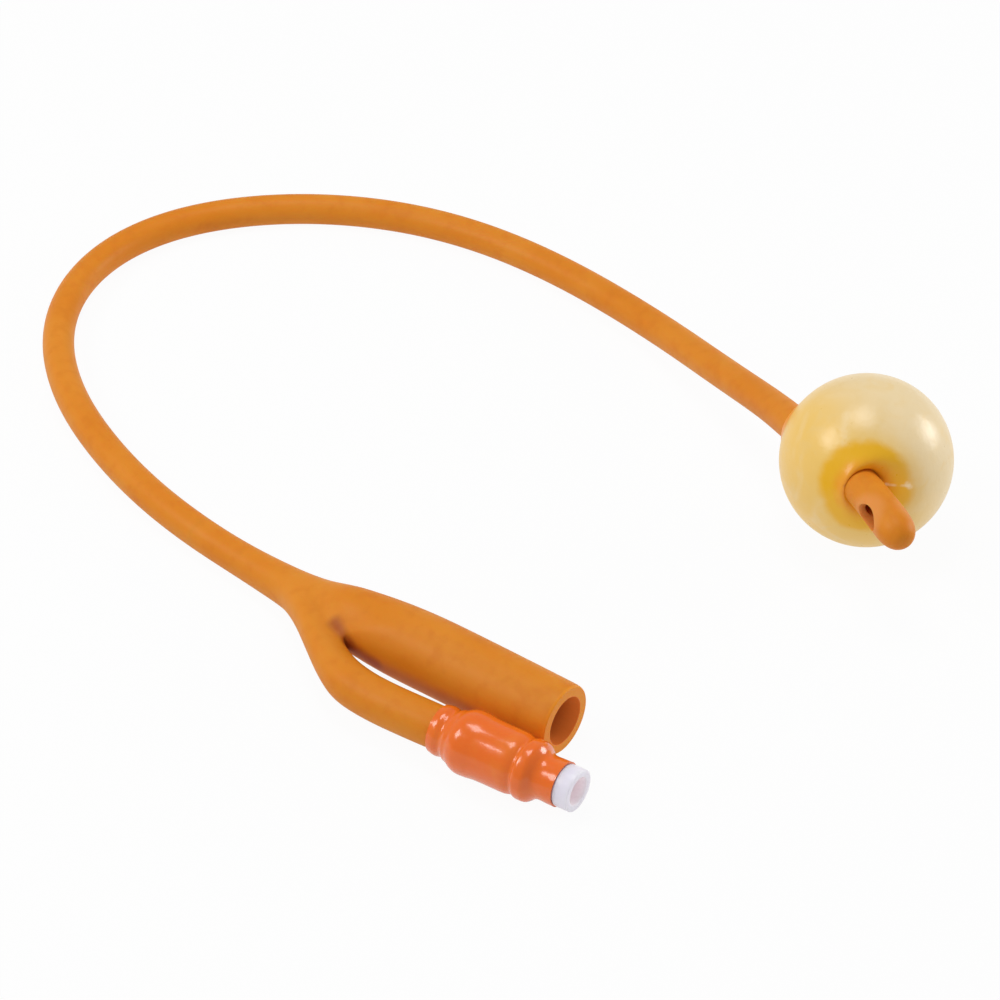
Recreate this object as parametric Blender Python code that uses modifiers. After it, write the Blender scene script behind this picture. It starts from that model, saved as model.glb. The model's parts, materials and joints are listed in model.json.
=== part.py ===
"""Two-way latex Foley catheter with its balloon filled, lying on a table.

The latex body is one moulded piece: a closed round tip with two drainage eyes, a long shaft with
two lumens, and a Y that parts into the drainage funnel and the inflation arm. The balloon is a thin
latex skin bonded round the shaft. The arm holds a check valve: a housing with a syringe socket, a
fluted stem with a rubber seal, a steel spring and an end cap, under an orange colour sleeve.

Metres, +Z up. The table is z = 0, the funnel points along +X and the arm lies on its -Y side.
"""

import math

import bmesh
import bpy
from mathutils import Matrix, Vector

COLLECTION = "foley_catheter"
CUTTERS = "foley_catheter_cutters"

# Fits
SEAT_GAP = 0.0003
VALVE_FIT = 0.00015
CUT_PAST = 0.002

# Shaft and tip
SHAFT_DIAMETER = 0.00533
COATED_DIAMETER = 0.0058
TIP_DIAMETER = 0.0061
COAT_RUN = 0.012
TIP_BEYOND_BALLOON = 0.0154
TIP_NOSE = 0.0065
NOSE_RINGS = ((0.0, 0.30), (0.11, 0.66), (0.34, 0.93), (0.65, 1.0))
DRAIN_LUMEN_DIAMETER = 0.0028
INFLATION_LUMEN_DIAMETER = 0.0009
LUMEN_WEB = 0.0003
LUMEN_FOLLOW = 0.8
LUMENS_MEET = 0.64
TIP_WALL = 0.0022
EYE_LENGTH = 0.0050
EYE_WIDTH = 0.0034
EYE_FROM_TIP = 0.0074
EYE_STAGGER = 0.0024
EYE_TILT = math.radians(2)
PORT_STRETCH = 1.6

# Drainage funnel, measured back from its mouth
MOUTH_X = 0.0562
FUNNEL_Y = -0.0426
FUNNEL_LENGTH = 0.0382
FUNNEL_RISE = 0.0009
FUNNEL_MOUTH_DIAMETER = 0.0112
FUNNEL_DIAMETER = 0.01156
FUNNEL_WIDEST = 0.6
FUNNEL_NECK_DIAMETER = 0.0093
FUNNEL_BORE_DIAMETER = 0.0077
FUNNEL_BORE_NECK_DIAMETER = 0.0038
FUNNEL_EDGE = 0.00025

# Y, where the shaft parts into the funnel and the arm
SPLIT_STUB = 0.004
TRUNK_LENGTH = 0.0165
TRUNK_DIAMETER = 0.0063
TRUNK_SWELL = 0.009
LOBE_SPREAD = 0.0082
LOBE_CURVE = 1.55
LOBE_FAN = math.radians(55)
VALLEY_CURVE = 1.0
FAN_LEFT = (0.65, 0.35, 0.12)
TRUNK_BEND = 0.38
CROTCH_HEIGHT = 0.0026
CROTCH_WEB = 0.0003

# Inflation arm and its latex socket round the valve
ARM_DIAMETER = 0.0067
ARM_NECK_DIAMETER = 0.0057
ARM_SQUEEZE = 0.0002
ARM_BORE_DIAMETER = 0.0020
ARM_NECK_RUN = 0.0038
SHOULDER_RUN = 0.0026
SOCKET_WALL = 0.00095
SOCKET_HUMP = 0.00025
SOCKET_BASE = 0.0006
BORE_EASE = 0.001

# Check valve, measured back from its mouth along its own axis
VALVE_MOUTH_X = 0.0662
VALVE_MOUTH_Y = -0.0534
VALVE_HEADING = math.radians(1.9)
LUER_MOUTH_DIAMETER = 0.0043
LUER_TAPER = 0.06
LUER_DEPTH = 0.0075
MOUTH_RIM_DIAMETER = 0.0066
MOUTH_RIM_LENGTH = 0.0026
RIM_EDGE = 0.0002
NECK_DIAMETER = 0.0056
NECK_LENGTH = 0.0073
FLANGE_DIAMETER = 0.0082
FLANGE_THICKNESS = 0.0014
BARREL_DIAMETER = 0.0058
BARREL_LENGTH = 0.0082
BARREL_SHOWN = 0.0012
SEAT_WALL = 0.0015
SEAT_BORE_DIAMETER = 0.0030
CHAMBER_DIAMETER = 0.0044
STEM_RECESS = 0.0042
STEM_DIAMETER = 0.0025
STEM_BUTTON = 0.0007
STEM_WAIST_DIAMETER = 0.0015
FLUTE_DIAMETER = 0.0011
FLUTES = 4
STEM_TRAVEL = 0.0018
SEAL_THICKNESS = 0.0009
PLATE_DIAMETER = 0.0038
PLATE_THICKNESS = 0.0008
SPRING_GUIDE_DIAMETER = 0.0014
SPRING_WIRE = 0.0003
SPRING_DIAMETER = 0.0030
SPRING_TURNS = 4.5
CAP_THICKNESS = 0.0012
CAP_SPIGOT_LENGTH = 0.0008
PORT_DIAMETER = 0.0009
BARB_DIAMETER = 0.0025
BARB_LENGTH = 0.0042

# Colour sleeve over the end of the arm
SLEEVE_WALL = 0.0003
SLEEVE_ON_ARM = 0.0026

# Balloon
BALLOON_DIAMETER = 0.0278
BALLOON_WALL = 0.00035
BALLOON_X = 0.0644
BALLOON_Y = 0.0278
BALLOON_DIMPLE = 0.0018
BALLOON_CUFF = 0.0030
DIMPLE_SPREAD = 0.0065
CREST_SHARE = 0.55
CREST_LIFT = 0.25

# Mesh steps
RING_SIDES = 12
BALLOON_STEPS = 7
SHAFT_STEP = 0.010
LUMEN_STEP = 0.0065
DRAIN_SIDES = 12
INFLATION_SIDES = 6

# Route of the shaft from the Y to the tip: x, y and the lift of its axis above where it would lie
SHAFT_ROUTE = [
    (0.0015, -0.0399, 0.0006),
    (-0.0096, -0.0384, 0.0),
    (-0.0210, -0.0367, 0.0),
    (-0.0331, -0.0336, 0.0),
    (-0.0458, -0.0287, 0.0),
    (-0.0591, -0.0214, 0.0),
    (-0.0718, -0.0101, 0.0),
    (-0.0796, 0.0042, 0.0),
    (-0.0808, 0.0176, 0.0),
    (-0.0772, 0.0289, 0.0),
    (-0.0709, 0.0376, 0.0),
    (-0.0631, 0.0446, 0.0),
    (-0.0541, 0.0501, 0.0),
    (-0.0441, 0.0540, 0.0),
    (-0.0331, 0.0561, 0.0),
    (-0.0214, 0.0564, 0.0),
    (-0.0091, 0.0551, 0.0001),
    (0.0037, 0.0519, 0.0009),
    (0.0171, 0.0469, 0.0027),
    (0.0310, 0.0401, 0.0057),
    (0.0433, 0.0334, 0.0093),
    (0.0568, 0.0247, 0.0131),
    (0.0696, 0.0173, 0.0152),
    (0.0797, 0.0107, 0.0153),
    (0.0890, 0.0047, 0.0150),
]

# Bend of the arm from the Y to its straight run: x and y
ARM_ROUTE = [
    (0.0223, -0.0531),
    (0.0258, -0.0544),
]
ARM_STRAIGHT_X = 0.0295

# Sizes worked out from the ones above
SHAFT_RADIUS = SHAFT_DIAMETER / 2
COATED_RADIUS = COATED_DIAMETER / 2
TIP_RADIUS = TIP_DIAMETER / 2
LUMEN_STACK = DRAIN_LUMEN_DIAMETER + LUMEN_WEB + INFLATION_LUMEN_DIAMETER
DRAIN_OFFSET = (DRAIN_LUMEN_DIAMETER - LUMEN_STACK) / 2
INFLATION_OFFSET = (LUMEN_STACK - INFLATION_LUMEN_DIAMETER) / 2
SPLIT_X = MOUTH_X - FUNNEL_LENGTH

FLANGE_FRONT = NECK_LENGTH
FLANGE_BACK = FLANGE_FRONT + FLANGE_THICKNESS
BARREL_BACK = FLANGE_BACK + BARREL_LENGTH
SOCKET_END = FLANGE_BACK + BARREL_SHOWN
SOCKET_BORE_RADIUS = BARREL_DIAMETER / 2 + SEAT_GAP
SOCKET_RADIUS = SOCKET_BORE_RADIUS + SOCKET_WALL
CAP_BACK = BARREL_BACK + SEAT_GAP / 2 + CAP_THICKNESS
SOCKET_FLOOR = CAP_BACK + SEAT_GAP
SOCKET_SHOULDER = SOCKET_FLOOR + SOCKET_BASE
BARB_END = CAP_BACK + BARB_LENGTH
SLEEVE_RADIUS = max(SOCKET_RADIUS + SOCKET_HUMP, FLANGE_DIAMETER / 2) + SEAT_GAP + SLEEVE_WALL
VALVE_Z = SLEEVE_RADIUS

SEAT_BACK = LUER_DEPTH + SEAT_WALL
SEAL_FRONT = SEAT_BACK + VALVE_FIT
SEAL_BACK = SEAL_FRONT + SEAL_THICKNESS
PLATE_FRONT = SEAL_BACK + VALVE_FIT
PLATE_BACK = PLATE_FRONT + PLATE_THICKNESS
CAP_FRONT = BARREL_BACK - CAP_SPIGOT_LENGTH
GUIDE_END = CAP_FRONT - STEM_TRAVEL - VALVE_FIT
SPRING_FRONT = PLATE_BACK + VALVE_FIT
SPRING_BACK = CAP_FRONT - VALVE_FIT

BALLOON_RADIUS = BALLOON_DIAMETER / 2
BALLOON_CENTRE = Vector((BALLOON_X, BALLOON_Y, BALLOON_RADIUS))
HUG_RADIUS = COATED_RADIUS + SEAT_GAP

UP = Vector((0, 0, 1))


def new_material(name, colour, roughness, metallic=0.0, alpha=1.0):
    """A Principled material of one plain colour."""
    material = bpy.data.materials.new(name)
    material.use_nodes = True
    shader = material.node_tree.nodes["Principled BSDF"]
    shader.inputs["Base Color"].default_value = (*colour, 1.0)
    shader.inputs["Roughness"].default_value = roughness
    shader.inputs["Metallic"].default_value = metallic
    shader.inputs["Alpha"].default_value = alpha
    return material


def mesh_object(name, bm, collection, material=None):
    """Turns a bmesh into a smooth object of the collection."""
    mesh = bpy.data.meshes.new(name)
    bm.to_mesh(mesh)
    bm.free()
    mesh.shade_smooth()
    obj = bpy.data.objects.new(name, mesh)
    collection.objects.link(obj)
    if material:
        mesh.materials.append(material)
    return obj


def add_cut(target, cutter):
    """Takes the cutter's shape out of the target."""
    cut = target.modifiers.new("cut " + cutter.name, "BOOLEAN")
    cut.operation = "DIFFERENCE"
    cut.solver = "EXACT"
    cut.object = cutter
    cutter.hide_render = True
    cutter.display_type = "WIRE"


def add_subdivision(obj, levels=1):
    """Smooths a coarse cage."""
    smooth = obj.modifiers.new("smooth", "SUBSURF")
    smooth.levels = levels
    smooth.render_levels = levels


def cage_swell(step):
    """How much larger a cage is than the round it smooths to, for the angle between its points."""
    return 1 / (2 / 3 + math.cos(step) / 3)


def cage_scale(sides):
    return cage_swell(math.tau / sides)


class Path:
    """A smooth curve through chosen points, read by its length."""

    def __init__(self, points, hand, fine=0.0004):
        self.hand = hand
        self.points = [Vector(points[0])]
        for i in range(len(points) - 1):
            before = Vector(points[max(i - 1, 0)])
            start = Vector(points[i])
            end = Vector(points[i + 1])
            after = Vector(points[min(i + 2, len(points) - 1)])
            chord = (end - start).length
            leave = self.slope(before, start, end) * chord
            arrive = self.slope(start, end, after) * chord
            steps = max(2, round(chord / fine))
            for k in range(1, steps + 1):
                t = k / steps
                a = 2 * t**3 - 3 * t**2 + 1
                b = t**3 - 2 * t**2 + t
                c = t**3 - t**2
                self.points.append(a * start + b * leave + (1 - a) * end + c * arrive)
        self.lengths = [0.0]
        for start, end in zip(self.points, self.points[1:]):
            self.lengths.append(self.lengths[-1] + (end - start).length)
        self.length = self.lengths[-1]

    @staticmethod
    def slope(before, here, after):
        """Unit slope at a point, weighted to the nearer neighbour."""
        back = here - before
        ahead = after - here
        if back.length == 0:
            return ahead.normalized()
        if ahead.length == 0:
            return back.normalized()
        return (back / back.length**2 + ahead / ahead.length**2).normalized()

    def index(self, s):
        low = 0
        high = len(self.lengths) - 2
        while low < high:
            middle = (low + high + 1) // 2
            if self.lengths[middle] <= s:
                low = middle
            else:
                high = middle - 1
        return low

    def at(self, s):
        """The point at the length s, past either end along the end's tangent."""
        i = self.index(s)
        span = self.lengths[i + 1] - self.lengths[i]
        return self.points[i].lerp(self.points[i + 1], (s - self.lengths[i]) / span)

    def tangent(self, s, reach=0.0008):
        low = max(s - reach, 0)
        high = min(s + reach, self.length)
        return (self.at(high) - self.at(low)).normalized()

    def frame(self, s):
        """Centre, tangent, side and up at the length s. The side is the funnel's, away from the arm."""
        tangent = self.tangent(s)
        side = UP.cross(tangent).normalized() * self.hand
        return self.at(s), tangent, side, tangent.cross(side) * self.hand

    def crossings(self, centre, radius):
        """The lengths where the path enters and leaves a sphere."""
        inside = [s for s, point in zip(self.lengths, self.points) if (point - centre).length < radius]
        return inside[0], inside[-1]


def ring_points(centre, side, up, radius, sides=RING_SIDES, offset=0.0):
    """Points round a centre from its side over the top."""
    middle = centre + side * offset
    angles = [math.tau * k / sides for k in range(sides)]
    return [middle + (side * math.cos(a) + up * math.sin(a)) * radius for a in angles]


def fan_ring(centre, side, up, radius, fan, outer=0):
    """A ring with wide steps round its outer point and short ones opposite."""
    wide = blend(math.tau / RING_SIDES, LOBE_FAN, fan)
    short = (math.tau - 6 * wide) / (RING_SIDES - 6)
    reach = radius * cage_swell(wide)
    points = []
    for k in range(RING_SIDES):
        step = (k - outer) % RING_SIDES
        if step > RING_SIDES - 4:
            step -= RING_SIDES
        a = wide * step if step <= 3 else wide * 3 + short * (step - 3)
        a += math.tau * outer / RING_SIDES
        points.append(centre + (side * math.cos(a) + up * math.sin(a)) * reach)
    return points


def add_ring(bm, points):
    return [bm.verts.new(point) for point in points]


def join_rings(bm, rings):
    """Quads between each ring and the next."""
    for one, two in zip(rings, rings[1:]):
        for k in range(len(one)):
            n = (k + 1) % len(one)
            bm.faces.new((one[k], one[n], two[n], two[k]))


def cap_ring(bm, ring, sharp=False):
    face = bm.faces.new(ring)
    if sharp:
        crease = bm.edges.layers.float.get("crease_edge")
        for edge in face.edges:
            edge[crease] = 1.0


def tube_of_rings(name, collection, rings, material=None):
    """A closed loft through rings of equal counts."""
    bm = bmesh.new()
    joined = [add_ring(bm, ring) for ring in rings]
    join_rings(bm, joined)
    cap_ring(bm, joined[0])
    cap_ring(bm, joined[-1])
    bmesh.ops.recalc_face_normals(bm, faces=bm.faces)
    return mesh_object(name, bm, collection, material)


def blend(a, b, t):
    return a + (b - a) * t


def ease(t):
    t = min(max(t, 0.0), 1.0)
    return t * t * (3 - 2 * t)


def funnel_radius(back):
    """Outer radius of the funnel at a distance back from its mouth."""
    mouth = FUNNEL_MOUTH_DIAMETER / 2
    full = FUNNEL_DIAMETER / 2
    neck = FUNNEL_NECK_DIAMETER / 2
    share = back / FUNNEL_LENGTH
    if share < FUNNEL_WIDEST:
        return blend(mouth, full, math.sin(share / FUNNEL_WIDEST * math.pi / 2))
    return blend(full, neck, ((share - FUNNEL_WIDEST) / (1 - FUNNEL_WIDEST)) ** 2)


def funnel_centre(back):
    """A point on the funnel's axis: its mouth rests on the table and its neck is a little higher."""
    rise = back / FUNNEL_LENGTH * FUNNEL_RISE
    return Vector((MOUTH_X - back, FUNNEL_Y, FUNNEL_MOUTH_DIAMETER / 2 + rise))


def drain_path():
    """The drainage line from the split of the Y to the tip."""
    split = funnel_centre(FUNNEL_LENGTH)
    trunk_end = Vector((SHAFT_ROUTE[0][0], SHAFT_ROUTE[0][1], SHAFT_RADIUS))
    middle = split.lerp(trunk_end, 0.5)
    middle.y = blend(FUNNEL_Y, trunk_end.y, TRUNK_BEND)
    points = [split + Vector((SPLIT_STUB, 0, 0)), split, middle]
    points += [Vector((x, y, SHAFT_RADIUS + lift)) for x, y, lift in SHAFT_ROUTE]
    return Path(points, hand=-1)


def valve_point(back):
    """A point on the valve's axis, measured back from its mouth."""
    mouth = Vector((VALVE_MOUTH_X, VALVE_MOUTH_Y, VALVE_Z))
    return mouth - back * Vector((math.cos(VALVE_HEADING), math.sin(VALVE_HEADING), 0))


def arm_path(start):
    """The arm's axis from a start point in the Y to the end of its latex socket."""
    straight = (VALVE_MOUTH_X - ARM_STRAIGHT_X) / math.cos(VALVE_HEADING)
    points = [start]
    points += [Vector((x, y, VALVE_Z)) for x, y in ARM_ROUTE]
    points += [valve_point(straight), valve_point((straight + SOCKET_END) / 2), valve_point(SOCKET_END)]
    return Path(points, hand=1)


class CatheterBody:
    """Works out the stations that the latex body, its lumens and the balloon share."""

    def __init__(self):
        self.drain = drain_path()
        self.split = SPLIT_STUB
        self.trunk = self.split + TRUNK_LENGTH
        self.balloon_in, self.balloon_out = self.drain.crossings(BALLOON_CENTRE, BALLOON_RADIUS)
        self.tip = self.balloon_out - BALLOON_DIMPLE + TIP_BEYOND_BALLOON
        self.arm_start = self.drain.at(self.split)
        self.arm_start.y -= LOBE_SPREAD
        self.arm_start.z = VALVE_Z
        self.arm = arm_path(self.arm_start)

    def shaft_radius(self, s):
        """Outer radius of the shaft: it swells into the trunk, under the balloon and at the tip."""
        if s < self.trunk + TRUNK_SWELL:
            return blend(TRUNK_DIAMETER / 2, SHAFT_RADIUS, ease((s - self.trunk) / TRUNK_SWELL))
        coat = ease((s - (self.balloon_in - COAT_RUN)) / COAT_RUN)
        bulb = ease((s - (self.tip - 3 * TIP_RADIUS)) / TIP_RADIUS)
        return blend(blend(SHAFT_RADIUS, COATED_RADIUS, coat), TIP_RADIUS, bulb)

    def trunk_share(self, s):
        """How far into the trunk a station is, from 0 at the shaft to 1 at the split."""
        return max((self.trunk - s) / TRUNK_LENGTH, 0.0)

    def lobe_shift(self, s):
        """How far the arm's lobe has drawn away from the funnel's."""
        return LOBE_SPREAD * self.trunk_share(s) ** LOBE_CURVE

    def inflation_offset(self, s):
        """Place of the inflation lumen beside the shaft's axis, on the arm's side."""
        return -INFLATION_OFFSET - self.lobe_shift(s) * LUMEN_FOLLOW

    def trunk_ring(self, s):
        """A ring of two lobes that draw apart, the funnel's and the arm's."""
        centre, _, side, up = self.drain.frame(s)
        part = self.trunk_share(s)
        shift = self.lobe_shift(s)
        apart = shift / LOBE_SPREAD
        spread = blend(math.tau / RING_SIDES, LOBE_FAN, apart)
        scale = cage_swell(spread)
        big = blend(TRUNK_DIAMETER, FUNNEL_NECK_DIAMETER, part) / 2 * scale
        small = blend(TRUNK_DIAMETER, ARM_NECK_DIAMETER, part) / 2 * scale
        rise = blend(0.0, VALVE_Z - centre.z, part)
        arm_centre = centre - side * shift + up * rise
        valley = blend(big, CROTCH_HEIGHT / 2, apart**VALLEY_CURVE)
        dip = (centre + arm_centre) / 2 - side * (big - small) * 0.5 * apart
        points = []
        for k in range(RING_SIDES):
            turn = k if k <= 3 else k - 6 if k < 9 else k - 12
            if k == 3 or k == 9:
                points.append(dip + up * (valley if k == 3 else -valley))
            elif 3 < k < 9:
                a = spread * turn
                points.append(arm_centre - side * small * math.cos(a) - up * small * math.sin(a))
            else:
                a = spread * turn
                points.append(centre + side * big * math.cos(a) + up * big * math.sin(a))
        return points


def body_cage(body):
    """The outer form of the latex body as one coarse cage."""
    bm = bmesh.new()
    bm.edges.layers.float.new("crease_edge")
    scale = cage_scale(RING_SIDES)
    drain = body.drain

    # Shaft, from the closed tip back to the trunk
    rings = []
    for along, share in NOSE_RINGS:
        centre, _, side, up = drain.frame(body.tip - along * TIP_NOSE)
        radius = TIP_RADIUS * share * scale
        rings.append(add_ring(bm, ring_points(centre, side, up, radius)))
    nose = body.tip - TIP_NOSE
    stations = round((nose - body.trunk) / SHAFT_STEP)
    for k in range(stations + 1):
        s = blend(nose, body.trunk, k / stations)
        centre, _, side, up = drain.frame(s)
        rings.append(add_ring(bm, ring_points(centre, side, up, body.shaft_radius(s) * scale)))
    cap_ring(bm, rings[0])

    # Trunk, where the lobes part
    for share in (0.2, 0.4, 0.58, 0.74, 0.88, 1.0):
        s = blend(body.trunk, body.split, share)
        rings.append(add_ring(bm, body.trunk_ring(s)))
    join_rings(bm, rings)

    # Crotch, shared by both branches
    split = rings[-1]
    top = split[3].co
    bottom = split[9].co
    crotch = []
    for k in range(1, 6):
        point = top.lerp(bottom, k / 6)
        point.x += CROTCH_WEB * math.sin(k / 6 * math.pi)
        crotch.append(bm.verts.new(point))
    funnel_start = split[0:4] + crotch + split[9:12]
    arm_start = [crotch[2], crotch[1], crotch[0]] + split[3:10] + [crotch[4], crotch[3]]

    # Funnel, out to its flat mouth
    rings = [funnel_start]
    across = Vector((0, 1, 0))
    stops = [(share * FUNNEL_LENGTH, 0.0) for share in (0.89, 0.79, 0.69, 0.58, 0.46, 0.33, 0.19, 0.06)]
    stops += [(FUNNEL_EDGE, 0.0), (0.0, FUNNEL_EDGE)]
    fans = FAN_LEFT + (0.0,) * len(stops)
    for (back, less), fan in zip(stops, fans):
        radius = funnel_radius(back) - less
        rings.append(add_ring(bm, fan_ring(funnel_centre(back), across, UP, radius, fan)))
    join_rings(bm, rings)
    cap_ring(bm, rings[-1], sharp=True)

    # Arm, out to the end of its socket
    arm = body.arm
    shoulder = arm.length - (SOCKET_SHOULDER - SOCKET_END)
    squeezed = ARM_DIAMETER / 2 - ARM_SQUEEZE
    sleeve_start = shoulder - SHOULDER_RUN - SLEEVE_ON_ARM
    free = sleeve_start - ARM_NECK_RUN * 2
    rings = [arm_start]
    plan = [(ARM_NECK_RUN, ARM_NECK_DIAMETER / 2)]
    plan += [(ARM_NECK_RUN * 2 + free * k / 4, ARM_DIAMETER / 2) for k in range(5)]
    plan += [(sleeve_start + ARM_SQUEEZE * 4, squeezed), (shoulder - SHOULDER_RUN, squeezed)]
    plan += [(shoulder - SHOULDER_RUN * 0.4, blend(squeezed, SOCKET_RADIUS, 0.75))]
    plan += [(shoulder, SOCKET_RADIUS + SOCKET_HUMP)]
    plan += [(blend(shoulder, arm.length, 0.3), SOCKET_RADIUS)]
    plan += [(blend(shoulder, arm.length, 0.7), SOCKET_RADIUS), (arm.length, SOCKET_RADIUS)]
    fans = FAN_LEFT[:2] + (0.0,) * len(plan)
    for (s, radius), fan in zip(plan, fans):
        centre, _, side, up = arm.frame(s)
        rings.append(add_ring(bm, fan_ring(centre, side, up, radius, fan, outer=6)))
    join_rings(bm, rings)
    cap_ring(bm, rings[-1], sharp=True)
    bmesh.ops.recalc_face_normals(bm, faces=bm.faces)
    return bm


def drain_lumen(body, collection):
    """Cutter of the drainage lumen, from the funnel's mouth to the wall of the tip."""
    drain = body.drain
    wide = FUNNEL_BORE_DIAMETER / 2
    narrow = FUNNEL_BORE_NECK_DIAMETER / 2
    rings = []
    for share in (-CUT_PAST / FUNNEL_LENGTH, 0.0, 0.5, 1.0):
        centre = funnel_centre(share * FUNNEL_LENGTH)
        radius = blend(wide, narrow, max(share, 0.0))
        rings.append(ring_points(centre, Vector((0, 1, 0)), UP, radius, DRAIN_SIDES))
    end = body.tip - TIP_WALL
    count = round((end - body.split) / LUMEN_STEP)
    for k in range(1, count + 1):
        s = blend(body.split, end, k / count)
        narrowing = ease((s - body.split) / TRUNK_LENGTH)
        radius = blend(narrow, DRAIN_LUMEN_DIAMETER / 2, narrowing)
        centre, _, side, up = drain.frame(s)
        offset = -DRAIN_OFFSET * narrowing
        rings.append(ring_points(centre, side, up, radius, DRAIN_SIDES, offset=offset))
    return tube_of_rings("drain_lumen", collection, rings)


def inflation_lumen(body, collection):
    """Cutter of the small lumen in the shaft's wall, from the Y to under the balloon."""
    drain = body.drain
    start = blend(body.trunk, body.split, LUMENS_MEET) + INFLATION_LUMEN_DIAMETER / 2
    end = (body.balloon_in + body.balloon_out) / 2
    count = round((end - start) / LUMEN_STEP)
    rings = []
    for k in range(count + 1):
        s = blend(start, end, k / count)
        centre, _, side, up = drain.frame(s)
        offset = body.inflation_offset(s)
        radius = INFLATION_LUMEN_DIAMETER / 2
        rings.append(ring_points(centre, side, up, radius, INFLATION_SIDES, offset=offset))
    return tube_of_rings("inflation_lumen", collection, rings)


def arm_bore(body, collection):
    """Cutter of the arm's bore: the valve's socket, the run round its barb, and the narrow way in."""
    arm = body.arm
    floor = arm.length - (SOCKET_FLOOR - SOCKET_END)
    barb = floor - BARB_LENGTH
    bore = BARB_DIAMETER / 2 + SEAT_GAP
    narrow = INFLATION_LUMEN_DIAMETER / 2
    run = barb - BORE_EASE * 3
    plan = [(arm.length + CUT_PAST, SOCKET_BORE_RADIUS), (floor, SOCKET_BORE_RADIUS)]
    plan += [(floor - RIM_EDGE, bore), (barb - BORE_EASE, bore), (run, ARM_BORE_DIAMETER / 2)]
    for share in (0.8, 0.6, 0.4, 0.2, 0.0):
        plan.append((run * share, blend(narrow, ARM_BORE_DIAMETER / 2, share)))
    rings = []
    for s, radius in plan:
        centre, tangent, side, up = arm.frame(min(s, arm.length))
        centre = centre + tangent * max(s - arm.length, 0)
        rings.append(ring_points(centre, side, up, radius, DRAIN_SIDES))
    meet = blend(body.trunk, body.split, LUMENS_MEET)
    centre, _, side, up = body.drain.frame(meet)
    inner = centre + side * body.inflation_offset(meet)
    middle = inner.lerp(arm.at(0), 0.5)
    across = UP.cross((arm.at(0) - inner).normalized()).normalized()
    rings.append(ring_points(middle, across, UP, narrow, DRAIN_SIDES))
    rings.append(ring_points(inner, across, UP, narrow, DRAIN_SIDES))
    return tube_of_rings("arm_bore", collection, rings)


def side_hole(name, collection, path, s, turn, length, width, reach):
    """An oval cutter that leaves the tube's axis, turned from its side over the top."""
    centre, tangent, side, up = path.frame(s)
    out = side * math.cos(turn) + up * math.sin(turn)
    bm = bmesh.new()
    bmesh.ops.create_cone(bm, cap_ends=True, segments=16, radius1=0.5, radius2=0.5, depth=1)
    bmesh.ops.scale(bm, vec=(length, width, reach), verts=bm.verts)
    place = Matrix((tangent, out.cross(tangent), out)).transposed().to_4x4()
    place.translation = centre + out * reach / 2
    bm.transform(place)
    return mesh_object(name, bm, collection)


def make_body(body, parts, cutters, material):
    obj = mesh_object("latex_body", body_cage(body), parts, material)
    add_subdivision(obj)
    add_cut(obj, drain_lumen(body, cutters))
    add_cut(obj, inflation_lumen(body, cutters))
    add_cut(obj, arm_bore(body, cutters))
    eye = body.tip - EYE_FROM_TIP
    reach = TIP_DIAMETER
    near = side_hole("eye_near", cutters, body.drain, eye, EYE_TILT, EYE_LENGTH, EYE_WIDTH, reach)
    add_cut(obj, near)
    turn = math.pi + EYE_TILT
    far_place = eye + EYE_STAGGER
    far = side_hole("eye_far", cutters, body.drain, far_place, turn, EYE_LENGTH, EYE_WIDTH, reach)
    add_cut(obj, far)
    port = INFLATION_LUMEN_DIAMETER
    port_place = (body.balloon_in + body.balloon_out) / 2 - port
    _, _, side, _ = body.drain.frame(port_place)
    reach = SHAFT_DIAMETER - INFLATION_OFFSET
    hole = side_hole(
        "balloon_port", cutters, body.drain, port_place, math.pi, port * PORT_STRETCH, port, reach
    )
    hole.location = -side * INFLATION_OFFSET
    add_cut(obj, hole)
    return obj


def make_balloon(body, parts, material):
    """A thin skin: a sphere beside the shaft, tucked in at both ends to hug it."""
    drain = body.drain
    enter = drain.at(body.balloon_in)
    leave = drain.at(body.balloon_out)
    first = (BALLOON_CENTRE - enter).normalized()
    last = (leave - BALLOON_CENTRE).normalized()
    scale = cage_scale(RING_SIDES)

    def hugging(s, radius):
        centre, _, side, up = drain.frame(s)
        return ring_points(centre, side, up, radius * scale)

    def around(angle):
        normal = first.slerp(last, angle / math.pi)
        side = normal.cross(UP).normalized()
        up = side.cross(normal)
        centre = BALLOON_CENTRE - normal * BALLOON_RADIUS * math.cos(angle)
        return ring_points(centre, side, up, BALLOON_RADIUS * math.sin(angle) * scale)

    def crest(ring, lip, outward):
        lift = outward * BALLOON_DIMPLE * CREST_LIFT
        return [a.lerp(b, CREST_SHARE) + lift for a, b in zip(ring, lip)]

    low = math.asin(DIMPLE_SPREAD / BALLOON_RADIUS)
    sphere = [around(blend(low, math.pi - low, k / BALLOON_STEPS)) for k in range(BALLOON_STEPS + 1)]
    lip_in = body.balloon_in + BALLOON_DIMPLE
    lip_out = body.balloon_out - BALLOON_DIMPLE
    cuff_in = [hugging(lip_in + BALLOON_CUFF * share, HUG_RADIUS) for share in (1.0, 0.4, 0.0)]
    cuff_out = [hugging(lip_out - BALLOON_CUFF * share, HUG_RADIUS) for share in (0.0, 0.4, 1.0)]
    rings = cuff_in + [crest(sphere[0], cuff_in[-1], -first)]
    rings += sphere
    rings += [crest(sphere[-1], cuff_out[0], last)] + cuff_out

    bm = bmesh.new()
    joined = [add_ring(bm, ring) for ring in rings]
    join_rings(bm, joined)
    bmesh.ops.recalc_face_normals(bm, faces=bm.faces)
    obj = mesh_object("balloon", bm, parts, material)
    add_subdivision(obj)
    wall = obj.modifiers.new("wall", "SOLIDIFY")
    wall.thickness = BALLOON_WALL
    wall.offset = -1
    return obj


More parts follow.
